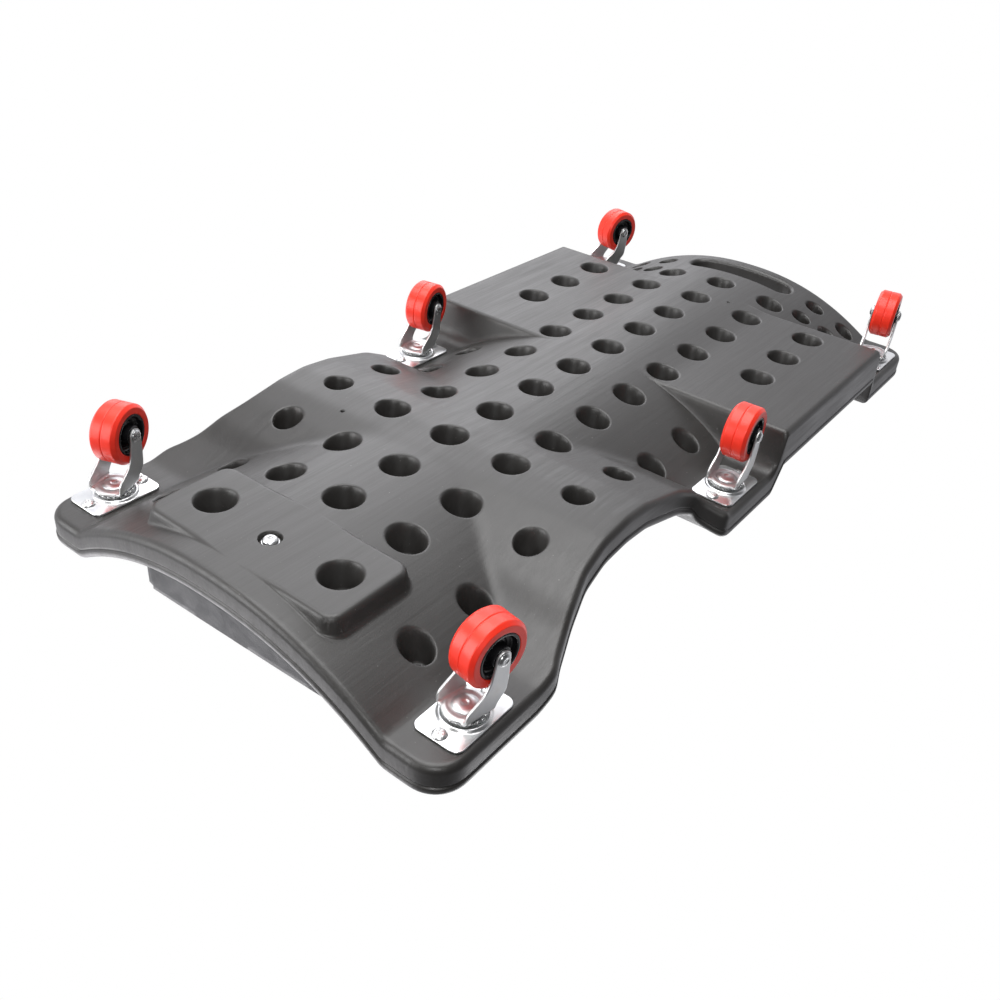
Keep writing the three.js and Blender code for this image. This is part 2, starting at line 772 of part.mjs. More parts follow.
// Materials
const plastic = new THREE.MeshStandardMaterial({ color: 0x2b2b2c, roughness: 0.55, metalness: 0 });
const zinc = new THREE.MeshStandardMaterial({ color: 0xd6dade, roughness: 0.25, metalness: 1 });
const steel = new THREE.MeshStandardMaterial({ color: 0xaeb2b6, roughness: 0.35, metalness: 1 });
const tyreRed = new THREE.MeshStandardMaterial({ color: 0xd2281c, roughness: 0.4, metalness: 0 });
const hubBlack = new THREE.MeshStandardMaterial({ color: 0x0c0c0e, roughness: 0.25, metalness: 0 });
const vinyl = new THREE.MeshStandardMaterial({ color: 0x39404a, roughness: 0.6, metalness: 0 });
const plywood = new THREE.MeshStandardMaterial({ color: 0xb58e5c, roughness: 0.8, metalness: 0 });

function node(name, body, material) {
  const mesh = new THREE.Mesh(geometryOf(body), material);
  mesh.name = name;
  return mesh;
}

// One caster: what is fixed to the deck, then the swivel, then the wheel on its axle
function makeCaster(name, x, y) {
  const caster = new THREE.Group();
  caster.position.set(x, y, 0);
  caster.add(node(name + "_plate", makePlate(), zinc));
  caster.add(node(name + "_race", makeRace(), steel));
  caster.add(node(name + "_kingpin", makeKingpin(), zinc));
  for (const [end, sign] of screwSides) {
    const screw = node(name + "_screw_" + end, makeScrew(), zinc);
    screw.position.x = (sign * screwSpacing) / 2;
    caster.add(screw);
  }
  const swivel = new THREE.Group();
  swivel.rotation.z = THREE.MathUtils.degToRad(restYaws[name]);
  swivel.add(node(name + "_fork", makeFork(), zinc));
  const wheel = new THREE.Group();
  wheel.position.set(trail, 0, wheelRadius);
  const axle = node(name + "_axle", makeAxle(), steel);
  axle.position.copy(wheel.position);
  swivel.add(axle);
  wheel.add(node(name + "_hub", makeHub(), hubBlack));
  wheel.add(node(name + "_tread", makeTread(), tyreRed));
  swivel.add(wheel);
  caster.add(swivel);
  return caster;
}

const creeper = new THREE.Group();
creeper.add(node("deck", makeDeck(), plastic));
creeper.add(node("headrest_pad", makeHeadrestPad(boardBlock(fitGap), tnutSolid(fitGap)), vinyl));
creeper.add(node("headrest_board", makeBoard(), plywood));
creeper.add(node("headrest_tnut", tnutSolid(0), zinc));
creeper.add(node("headrest_washer", makeWasher(), zinc));
creeper.add(node("headrest_bolt", makeBolt(), zinc));
casterPlaces.forEach(({ name, x, y }) => creeper.add(makeCaster(name, x, y)));

export default creeper;
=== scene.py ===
"""Mechanic creeper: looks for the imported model. Shapes are worked out in millimetres and made in metres."""

import math

import bmesh
import bpy
import numpy as np
from mathutils import Matrix, Vector
from mathutils.geometry import delaunay_2d_cdt


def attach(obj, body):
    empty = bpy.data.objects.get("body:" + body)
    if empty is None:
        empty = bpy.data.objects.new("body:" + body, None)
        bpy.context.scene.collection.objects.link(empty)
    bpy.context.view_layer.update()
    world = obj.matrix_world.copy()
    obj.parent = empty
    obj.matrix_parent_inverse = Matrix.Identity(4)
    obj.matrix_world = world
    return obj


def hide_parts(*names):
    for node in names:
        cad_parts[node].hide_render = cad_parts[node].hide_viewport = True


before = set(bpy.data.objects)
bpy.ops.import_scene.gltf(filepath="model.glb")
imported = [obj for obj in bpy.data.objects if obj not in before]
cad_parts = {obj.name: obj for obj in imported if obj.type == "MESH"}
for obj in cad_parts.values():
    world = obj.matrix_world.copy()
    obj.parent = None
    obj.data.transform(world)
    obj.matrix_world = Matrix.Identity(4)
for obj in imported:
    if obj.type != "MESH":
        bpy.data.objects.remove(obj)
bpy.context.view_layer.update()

MM = 0.001

# Sizes of the model, in millimetres
HALF_LENGTH = 457.0
HALF_WIDTH = 226.0
CORNER = 28.0
PAD_LEVEL = 80.9
THICKNESS = 28.0
RAIL_LEVEL = PAD_LEVEL + THICKNESS
RIM_LOW = 6.5
RIM_HIGH = 6.0
RIDGE_X = -182.0
ARCH_RISE = 50.0
ARCH_HALF = 172.0
ARCH_FOOT = PAD_LEVEL - ARCH_RISE
BOLT_X = -396.0
SLOT_X = 420.0
SLOT_HALF = (17.0, 70.0)
SLOT_EDGE = 5.0
TRAY_DROP = 43.5
TRAY_FLOOR = PAD_LEVEL - TRAY_DROP + THICKNESS
LIP_LEVEL = TRAY_FLOOR + 16.6
TRAY_INNER = 139.0
TRAY_OUTER = HALF_WIDTH - 15.0
BLOCK = (-391.0, 0.0, 43.0, 104.0, 13.0)
WHEEL_RADIUS = 27.3
TRAIL = 17.5
LEG_END = 6.7
LEG_MIDDLE = 15.1
CASTERS = {
    "near_left": (-400.0, -198.2, -20.3),
    "near_right": (-400.0, 198.2, 9.5),
    "mid_left": (0.0, -198.2, -9.7),
    "mid_right": (0.0, 198.2, -2.8),
    "far_left": (400.0, -198.2, 13.8),
    "far_right": (400.0, 198.2, -9.6),
}


# Number helpers


def smooth_max(a, b, k):
    k = np.maximum(k, 1e-3)
    h = np.maximum(k - np.abs(a - b), 0.0) / k
    return np.maximum(a, b) + h * h * k / 4


def smooth_min(a, b, k):
    return -smooth_max(-a, -b, k)


def softened(values, sigma, closed=False):
    reach = int(math.ceil(sigma * 4))
    steps = np.arange(-reach, reach + 1)
    weights = np.exp(-0.5 * (steps / sigma) ** 2)
    weights /= weights.sum()
    mode = "wrap" if closed else "edge"
    return np.convolve(np.pad(values, reach, mode=mode), weights, mode="valid")


def box_distance(x, y, cx, cy, hx, hy, radius):
    """Distance outwards from a rectangle with round corners."""
    qx = np.abs(x - cx) - (hx - radius)
    qy = np.abs(y - cy) - (hy - radius)
    outside = np.hypot(np.maximum(qx, 0), np.maximum(qy, 0))
    return outside + np.minimum(np.maximum(qx, qy), 0) - radius


def wall_profile(height, convex, fillet, angle):
    """Drop against the distance outwards from a block's floor edge."""
    top = math.radians(angle)
    turns = np.linspace(0, top, 9)
    ds = list(-convex + convex * np.sin(turns))
    hs = list(height - convex + convex * np.cos(turns))
    foot = fillet * (1 - math.cos(top))
    start = ds[-1] + (hs[-1] - foot) / math.tan(top)
    end = start + fillet * math.sin(top)
    for turn in np.linspace(top, 0, 11):
        ds.append(end - fillet * math.sin(turn))
        hs.append(fillet - fillet * math.cos(turn))
    return np.array(ds), np.array(hs)


# The deck's form

XS = np.arange(-520, 520.5, 0.5)
NEAR_SHARES = [(0, 0), (0.2, 0.06), (0.41, 0.24), (0.6, 0.48), (0.72, 0.72), (0.86, 0.88), (1, 1)]
FAR_SHARES = [(0, 0), (0.24, 0.05), (0.48, 0.2), (0.64, 0.3), (0.88, 0.6), (0.94, 0.84), (1, 1)]
SCALLOP_SHARES = [
    (0, 0), (0.025, 0.02), (0.075, 0.25), (0.17, 0.56), (0.29, 0.88),
    (0.4, 0.98), (0.65, 1), (0.96, 0.88), (1, 0),
]


def on_shares(shares, at):
    return np.interp(at, [s[0] for s in shares], [s[1] for s in shares])


AWAY = XS - RIDGE_X
FALL = np.where(AWAY < 0, on_shares(NEAR_SHARES, -AWAY / 163), on_shares(FAR_SHARES, AWAY / 141))
RIDGE = softened(52.4 * (1 - FALL), 8)
ARCH = softened(ARCH_RISE * (1 - np.minimum(np.abs(XS) / ARCH_HALF, 1) ** 2.2), 6)
ARCH *= ARCH_RISE / ARCH.max()
NEAR_WALL = wall_profile(TRAY_DROP, 5, 17, 79)
FAR_WALL = wall_profile(TRAY_DROP, 5, 8, 82)
BLOCK_WALL = wall_profile(ARCH_RISE, 4.5, 4, 77)


def base_drop(x, y):
    ridge = np.interp(x, XS, RIDGE)
    arch = np.interp(y, XS, ARCH)
    return smooth_max(arch, ridge, 4 * np.clip(np.minimum(arch, ridge) / 12, 0, 1))


def drop(x, y):
    base = base_drop(x, y)
    tray = np.where(
        x < 198,
        np.interp(66 - x, *NEAR_WALL),
        np.interp(x - 330, *FAR_WALL),
    )
    total = smooth_max(base, tray, 5 * np.clip(np.minimum(base, tray) / 6, 0, 1))
    away = box_distance(x, y, *BLOCK)
    block = np.interp(away, *BLOCK_WALL)
    with_block = smooth_max(total, block, 3 * np.clip(np.minimum(total, block) / 6, 0, 1))
    return np.minimum(with_block, np.maximum(total, ARCH_RISE))


def underside(x, y):
    return PAD_LEVEL - drop(x, y)


ROW_X = [139.8 - HALF_LENGTH + 67.7 * row for row in range(11)]


def dimple_places():
    """x, y, level of the skin, radius, radius at the top."""
    spots = []

    def put(x, y, level, radius=17.5, top=11.0):
        for side in ([1, -1] if y > 0 else [1]):
            spots.append((x, side * y, level, radius, top))

    def level(x, y):
        return float(PAD_LEVEL - base_drop(np.array(x), np.array(y)))

    for x in ROW_X:
        put(x, 0.0, level(x, 0.0))
        put(x, 70.0, level(x, 70.0), 16.9, 10.6)
    for row in range(-1, 6):
        x = 139.8 - HALF_LENGTH + 67.7 * row
        if row >= 0:
            put(x, 141.0, level(x, 141.0), 14.0, 9.0)
    for row in (7, 8, 9):
        put(ROW_X[row], 148.4, PAD_LEVEL - TRAY_DROP)
    put(-391.0, 70.0, ARCH_FOOT)
    for back, across in ((1.18, 1.54), (1.06, 2.03), (0.55, 1.54), (0.49, 2.16)):
        x = HALF_LENGTH - back * 67.7
        y = across * 70.0
        put(x, y, level(x, y), 12.0, 8.0)
    return spots


DIMPLES = dimple_places()
OUTER_NEAR = 139.8 - HALF_LENGTH - 67.7
for side in (1, -1):
    DIMPLES.append(
        (OUTER_NEAR, side * 141.0, float(PAD_LEVEL - base_drop(np.array(OUTER_NEAR), np.array(141.0))),
         14.0, 9.0)
    )
VENTS = [(ROW_X[0] + 1.5 * 67.7, -1.46 * 70), (ROW_X[0] + 9.28 * 67.7, 0.51 * 70)]


def under_surface(x, y):
    z = underside(x, y)
    for cx, cy, level, radius, top in DIMPLES:
        near = (np.abs(x - cx) < radius + 12) & (np.abs(y - cy) < radius + 12)
        r = np.hypot(x[near] - cx, y[near] - cy)
        floor = level + THICKNESS - 4
        slope = (THICKNESS - 4) / (radius - top)
        pit = smooth_min(np.full_like(r, floor), floor - (r - top) * slope, 5)
        z[near] = smooth_max(z[near], pit, 4.2)
    r = np.hypot(x - BOLT_X, y)
    near = r < 16
    pit = smooth_min(np.full_like(r, ARCH_FOOT + 5), ARCH_FOOT + 5 - (r - 9.0) * 9, 1.0)
    z[near] = smooth_max(z[near], pit[near], 2.6)
    for cx, cy in VENTS:
        r = np.hypot(x - cx, y - cy)
        near = r < 8
        level = float(underside(np.array([cx]), np.array([cy]))[0])
        pit = level + 7 - np.maximum(r - 1.7, 0) * 12
        z[near] = smooth_max(z[near], pit[near], 1.2)
    return z


def top_surface(x, y):
    z = RAIL_LEVEL - base_drop(x, y)
    for cx, cy, _, radius, top in DIMPLES:
        r = np.hypot(x - cx, y - cy)
        near = r < top + 4
        z[near] -= 0.45 * (1 - np.clip((r[near] - top + 2.5) / 4, 0, 1) ** 2)
    side = np.abs(y)
    slope = (RAIL_LEVEL - LIP_LEVEL) / 17
    out = np.maximum.reduce([(75 - x) * slope, (x - 329) * 11, (TRAY_INNER - side) * 9])
    z = smooth_min(z, LIP_LEVEL + np.maximum(out, 0), 3.5)
    away = box_distance(x, side, 198, (TRAY_INNER + TRAY_OUTER) / 2, 117.5, (TRAY_OUTER - TRAY_INNER) / 2, 12)
    return smooth_min(z, TRAY_FLOOR + np.maximum(away, -0.0) * 9, 3.5)


def outline_loop():
    """The deck's outline every millimetre, softened, with its outward normals."""
    side = []
    for y in np.arange(0, HALF_WIDTH - CORNER, 1.0):
        side.append((-HALF_LENGTH, y))
    for turn in np.linspace(math.pi, math.pi / 2, 40):
        side.append((
            CORNER - HALF_LENGTH + CORNER * math.cos(turn),
            HALF_WIDTH - CORNER + CORNER * math.sin(turn),
        ))
    for x in np.arange(-428, 428.5, 0.5):
        side.append((x, HALF_WIDTH - 33 * float(on_shares(SCALLOP_SHARES, (x + 330) / 282))))
    for turn in np.linspace(math.pi / 2, 0, 40):
        side.append((
            HALF_LENGTH - CORNER + CORNER * math.cos(turn),
            HALF_WIDTH - CORNER + CORNER * math.sin(turn),
        ))
    for y in np.arange(HALF_WIDTH - CORNER - 1, 0, -1.0):
        side.append((HALF_LENGTH, y))
    points = np.array(side + [(x, -y) for x, y in reversed(side[1:])])
    gaps = np.hypot(*np.diff(np.vstack([points, points[:1]]), axis=0).T)
    at = np.concatenate([[0], np.cumsum(gaps)])
    count = int(round(at[-1]))
    even = np.arange(count) * at[-1] / count
    ring = np.vstack([points, points[:1]])
    loop = np.stack([np.interp(even, at, ring[:, 0]), np.interp(even, at, ring[:, 1])], 1)
    loop = np.stack([softened(loop[:, 0], 4.2, True), softened(loop[:, 1], 4.2, True)], 1)
    along = np.roll(loop, -1, 0) - np.roll(loop, 1, 0)
    normal = np.stack([-along[:, 1], along[:, 0]], 1)
    normal /= np.hypot(*normal.T)[:, None]
    if (normal * loop)[:, 0].sum() + (normal * loop)[:, 1].sum() < 0:
        normal = -normal
    return loop, normal


def rim_stations(loop):
    kept = [0]
    for i in range(1, len(loop)):
        x, y = loop[i]
        busy = abs(y) > 205 and (40 < x < 80 or 322 < x < 346)
        turning = -75 < x < -35 or abs(x) > 425
        if i - kept[-1] >= (1 if busy else 2 if turning else 4):
            kept.append(i)
    return np.array(kept)


def round_box_loop(cx, cy, hx, hy, radius, spacing):
    """Points round a rectangle with round corners."""
    radius = min(radius, hx, hy)
    steps = max(3, int(math.ceil(radius * math.pi / 2 / spacing)))
    points = []
    for k, (sx, sy) in enumerate(((1, 1), (-1, 1), (-1, -1), (1, -1))):
        for turn in np.linspace(k * math.pi / 2, (k + 1) * math.pi / 2, steps + 1):
            points.append(
                (cx + sx * (hx - radius) + radius * math.cos(turn),
                 cy + sy * (hy - radius) + radius * math.sin(turn))
            )
    out = []
    for a, b in zip(points, points[1:] + points[:1]):
        gap = math.dist(a, b)
        parts = max(1, int(round(gap / spacing)))
        if gap < 1e-6:
            continue
        for i in range(parts):
            out.append((a[0] + (b[0] - a[0]) * i / parts, a[1] + (b[1] - a[1]) * i / parts))
    return np.array(out)


def inside(points, loop):
    """Even-odd test of points against a closed loop."""
    x, y = points[:, 0], points[:, 1]
    result = np.zeros(len(points), bool)
    for (x0, y0), (x1, y1) in zip(loop, np.roll(loop, -1, 0)):
        crosses = (y0 > y) != (y1 > y)
        if crosses.any():
            at = (x1 - x0) * (y[crosses] - y0) / (y1 - y0) + x0
            flips = np.zeros(len(points), bool)
            flips[np.nonzero(crosses)[0][x[crosses] < at]] = True
            result ^= flips
    return result


class Points:
    """Points of one skin in plan, kept a little apart from each other."""

    def __init__(self):
        self.grid = np.zeros((2000, 1000), bool)
        self.points = []

    def cells(self, p):
        return np.clip(((p + [500, 250]) * 2).astype(int), 0, [1999, 999])

    def mark(self, p, reach):
        span = int(math.ceil(reach * 2))
        cells = self.cells(p)
        for dx in range(-span, span + 1):
            for dy in range(-span, span + 1):
                if dx * dx + dy * dy <= (2 * reach) ** 2:
                    i = np.clip(cells[:, 0] + dx, 0, 1999)
                    j = np.clip(cells[:, 1] + dy, 0, 999)
                    self.grid[i, j] = True

    def add(self, p, apart, reach=None):
        p = np.asarray(p, float)
        cells = self.cells(p)
        free = p[~self.grid[cells[:, 0], cells[:, 1]]]
        if len(free):
            self.points.append(free)
            self.mark(free, reach or apart)


def lattice(step):
    rows = []
    for i, x in enumerate(np.arange(-455, 456, step * 0.866)):
        rows.append(np.stack(np.broadcast_arrays(x, np.arange(-225 + (i % 2) * step / 2, 226, step)), 1))
    return np.vstack(rows)


def skin(outer, holes, guides, fill):
    """Triangulated skin: outer loop, hole loops, then guide points and an even fill inside."""
    store = Points()
    loops = [outer] + holes
    for loop in loops:
        store.mark(loop, 1.4)
    for points, apart in guides:
        keep = inside(points, outer)
        for hole in holes:
            keep &= ~inside(points, hole)
        store.add(points[keep], apart, apart)
    even = lattice(fill)
    keep = inside(even, outer)
    for hole in holes:
        keep &= ~inside(even, hole)
    blurred = Points()
    blurred.grid = store.grid.copy()
    for points in store.points:
        blurred.mark(points, fill * 0.55)
    for loop in loops:
        blurred.mark(loop, fill * 0.55)
    cells = blurred.cells(even)
    even = even[keep & ~blurred.grid[cells[:, 0], cells[:, 1]]]
    free = np.vstack(store.points + [even])
    inputs = np.vstack(loops + [free])
    edges = []
    start = 0
    for loop in loops:
        n = len(loop)
        edges += [(start + i, start + (i + 1) % n) for i in range(n)]
        start += n
    verts, _, faces, origins, _, _ = delaunay_2d_cdt([Vector(p) for p in inputs], edges, [], 0, 1e-4, True)
    verts = np.array([v[:] for v in verts])
    faces = np.array(faces)
    middles = verts[faces].mean(1)
    good = inside(middles, outer)
    for hole in holes:
        good &= ~inside(middles, hole)
    place = np.full(len(inputs), -1)
    for new, olds in enumerate(origins):
        for old in olds:
            place[old] = new
    rims = []
    start = 0
    for loop in loops:
        rims.append(place[start : start + len(loop)])
        start += len(loop)
    return verts, faces[good], rims


def dimple_guides():
    guides = []
    for cx, cy, _, radius, top in DIMPLES:
        big = radius > 13
        sides = 40 if big else 28
        spread = [
            5.5, 4.4, 3.5, 2.7, 2.0, 1.3, 0.6, -0.1, -0.8, -1.5,
            -2.4, -3.5, -4.7, -5.9, -6.7, -7.6, -9, -12, -15,
        ]
        rings = [radius + s for s in spread if radius + s > 1.5]
        ring_points = [(cx, cy)]
        for i, r in enumerate(rings):
            count = sides if r > 8 else 20 if r > 4 else 10
            turn = np.arange(count) * 2 * math.pi / count + (i % 2) * math.pi / count
            ring_points += list(zip(cx + r * np.cos(turn), cy + r * np.sin(turn)))
        guides.append((np.array(ring_points), 0.45))
    return guides


def ring_guides(cx, cy, radii, sides):
    points = [(cx, cy)]
    for r in radii:
        turn = np.arange(sides) * 2 * math.pi / sides
        points += list(zip(cx + r * np.cos(turn), cy + r * np.sin(turn)))
    return (np.array(points), 0.2)


def line_guides(xs, low, high, step):
    points = [(x, s * y) for x in xs for s in (1, -1) for y in np.arange(low, high, step)]
    return (np.array(points), 0.45)


def level_guides(ys, low, high, step):
    points = [(x, s * y) for y in ys for s in (1, -1) for x in np.arange(low, high, step)]
    return (np.array(points), 0.45)


def make_deck_mesh():
    loop, normal = outline_loop()
    picks = rim_stations(loop)
    O, N = loop[picks], normal[picks]
    low_ring = O - RIM_LOW * N
    high_ring = O - RIM_HIGH * N
    slot = round_box_loop(SLOT_X, 0, SLOT_HALF[0], SLOT_HALF[1], SLOT_HALF[0] - 0.1, 2.4)
    slot_out = slot - [SLOT_X, 0]
    centre = np.stack([np.zeros(len(slot)), np.clip(slot_out[:, 1], -53, 53)], 1)
    slot_normal = slot_out - centre
    slot_normal /= np.hypot(*slot_normal.T)[:, None]
    slot_ring = slot + SLOT_EDGE * slot_normal

    guides = [(O - (RIM_LOW + d) * N, 0.5) for d in (2.2, 5.0)]
    guides += [(slot + (SLOT_EDGE + d) * slot_normal, 0.5) for d in (2.2, 5.0)]
    guides.append(ring_guides(BOLT_X, 0, [11.6, 10.8, 10.2, 9.8, 9.5, 9.2, 9.0, 8.7, 8.3, 7.6, 5.5, 3], 40))
    for cx, cy in VENTS:
        guides.append(ring_guides(cx, cy, [4.0, 3.2, 2.7, 2.4, 2.1, 1.8, 1.5, 0.8], 16))
    guides += dimple_guides()
    for d in (-5.4, -4.4, -3.3, -2.4, -1.6, -0.9, -0.3, 0.4, 1.2, 2.1, 3.2, 4.4, 5.8, 7.3, 8.9, 10.4, 12, 14):
        cx, cy, hx, hy, corner = BLOCK
        guides.append((round_box_loop(cx, cy, hx + d, hy + d, corner + d, 2.6), 0.45))
    near = [
        66 - d for d in (-6, -4.6, -3.4, -2.4, -1.5, -0.7, 0, 0.7, 1.5, 2.4,
                         3.4, 4.4, 5.6, 7, 8.6, 10.4, 12.6, 15.4, 18.6, 22.2)
    ]
    far = [330 + d for d in (-6, -4.6, -3.4, -2.4, -1.5, -0.7, 0, 0.7, 1.5, 2.4, 3.4, 4.6, 6, 7.6, 9.6, 12)]
    guides.append(line_guides(near + far, 58, 219, 2.8))
    bottom, bottom_faces, bottom_rims = skin(low_ring, [slot_ring], guides, 4.4)
    bottom_z = under_surface(bottom[:, 0].copy(), bottom[:, 1].copy())

    guides = [(O - (RIM_HIGH + d) * N, 0.5) for d in (2.2, 5.0)]
    guides += [(slot + (SLOT_EDGE + d) * slot_normal, 0.5) for d in (2.2, 5.0)]
    for d in (-3.6, -2.4, -1.4, -0.6, 0.1, 0.7, 1.3, 1.9, 2.6, 3.6, 5):
        for s in (1, -1):
            ring = round_box_loop(
                198, s * (TRAY_INNER + TRAY_OUTER) / 2,
                117.5 + d, (TRAY_OUTER - TRAY_INNER) / 2 + d, 12 + d, 2.8,
            )
            guides.append((ring, 0.45))
    guides.append(level_guides(
        [TRAY_INNER + d for d in (2.4, 1.3, 0.6, 0, -0.6, -1.2, -1.9, -2.8, -4)], 58, 332, 2.8,
    ))
    guides.append(line_guides([52, 54.5, 56.5, 58, 59.5, 62, 66, 70, 73, 75, 77, 79.5], 136, 219, 3.0))
    guides.append(line_guides([325, 327, 328.3, 329.3, 330.2, 331.2, 332.4, 334.4], 136, 219, 3.0))
    for cx, cy, _, _, top in DIMPLES:
        guides.append((ring_guides(cx, cy, [top + 3, top + 1.2, top - 0.8, top - 3, top * 0.4], 18)[0], 0.8))
    top, top_faces, top_rims = skin(high_ring, [slot_ring], guides, 5.2)
    top_z = top_surface(top[:, 0].copy(), top[:, 1].copy())

    verts = [np.column_stack([bottom, bottom_z]), np.column_stack([top, top_z])]
    faces = [list(f) for f in bottom_faces] + [list(f + len(bottom)) for f in top_faces]
    total = len(bottom) + len(top)

    def band(line, out, edge_low, edge_high, low_rim, high_rim, parting):
        """Rounded wall from the lower skin's rim to the upper skin's; out points away from the material."""
        nonlocal total
        zl = bottom_z[low_rim]
        zh = top_z[high_rim]
        wall = 0.7 if parting else 0.0
        rows = []
        for turn in np.radians(np.linspace(0, 90, 9)[1:]):
            inset = wall + (edge_low - wall) * (1 - math.sin(turn))
            rows.append((inset, zl + edge_low - edge_low * math.cos(turn)))
        if parting:
            seam = zh - 9.5
            rows.append((wall, seam - 2.4))
            rows.append((wall, seam - 0.7))
            rows.append((wall + 0.7, seam - 0.1))
            rows.append((wall + 0.6, seam + 0.4))
            rows.append((0.15, seam + 0.9))
            rows.append((0.0, seam + 1.8))
        for turn in np.radians(np.linspace(90, 0, 8)[:-1]):
            inset = edge_high * (1 - math.sin(turn))
            rows.append((inset, zh - edge_high + edge_high * math.cos(turn)))
        n = len(line)
        index = [low_rim]
        for inset, z in rows:
            verts.append(np.column_stack([line - inset * out, z]))
            index.append(np.arange(total, total + n))
            total += n
        index.append(high_rim + len(bottom))
        for a, b in zip(index, index[1:]):
            for i in range(n):
                j = (i + 1) % n
                faces.append([a[i], a[j], b[j], b[i]])

    band(O, N, RIM_LOW, RIM_HIGH, bottom_rims[0], top_rims[0], True)
    band(slot, -slot_normal, SLOT_EDGE, SLOT_EDGE, bottom_rims[1], top_rims[1], False)
    return np.vstack(verts), faces


# Object helpers


def make_mesh(name, verts, faces, angle=None):
    mesh = bpy.data.meshes.new(name)
    mesh.from_pydata((np.asarray(verts, float) * MM).tolist(), [], [[int(i) for i in f] for f in faces])
    bm = bmesh.new()
    bm.from_mesh(mesh)
    bmesh.ops.remove_doubles(bm, verts=bm.verts, dist=2e-6)
    bmesh.ops.recalc_face_normals(bm, faces=bm.faces)
    bm.to_mesh(mesh)
    bm.free()
    if angle is None:
        mesh.shade_smooth()
    else:
        mesh.shade_smooth()
        mesh.set_sharp_from_angle(angle=math.radians(angle))
    return mesh


def place(name, mesh, material, body, slot, node=None, at=(0, 0, 0), turn=0.0):
    thing = bpy.data.objects.new(name, mesh)
    bpy.context.scene.collection.objects.link(thing)
    if not mesh.materials:
        mesh.materials.append(material)
    thing.location = [c * MM for c in at]
    thing.rotation_euler = (0, 0, math.radians(turn))
    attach(thing, body)
    if node:
        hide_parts(node)
    return thing


def held(profile, margin=0.12):
    """The profile with a point near each end of its longer stretches, which keeps them flat."""
    points = [profile[0]]
    for (r0, h0), (r1, h1) in zip(profile, profile[1:]):
        length = math.hypot(r1 - r0, h1 - h0)
        if length > 5 * margin:
            for share in (margin / length, 1 - margin / length):
                points.append((r0 + (r1 - r0) * share, h0 + (h1 - h0) * share))
        points.append((r1, h1))
    return points


def turned(profile, sides, about="z", closed=False):
    """Verts and faces of a profile of (radius, height) turned about an axis."""
    profile = held(profile)
    verts, faces, rows = [], [], []
    for r, h in profile:
        if r < 1e-6:
            rows.append([len(verts)] * sides)
            verts.append((0, 0, h))
            continue
        rows.append(list(range(len(verts), len(verts) + sides)))
        for i in range(sides):
            turn = 2 * math.pi * i / sides
            verts.append((r * math.cos(turn), r * math.sin(turn), h))
    pairs = list(zip(rows, rows[1:])) + ([(rows[-1], rows[0])] if closed else [])
    for a, b in pairs:
        for i in range(sides):
            j = (i + 1) % sides
            face = [a[i], a[j], b[j], b[i]]
            face = [v for k, v in enumerate(face) if v not in face[:k]]
            if len(face) > 2:
                faces.append(face)
    if about == "y":
        verts = [(x, h, y) for x, y, h in verts]
    return verts, faces


def merged(*parts):
    verts, faces = [], []
    for v, f in parts:
        start = len(verts)
        verts += [tuple(p) for p in v]
        faces += [[i + start for i in face] for face in f]
    return verts, faces


def moved(part, dx=0.0, dy=0.0, dz=0.0):
    return [(x + dx, y + dy, z + dz) for x, y, z in part[0]], part[1]


# Materials


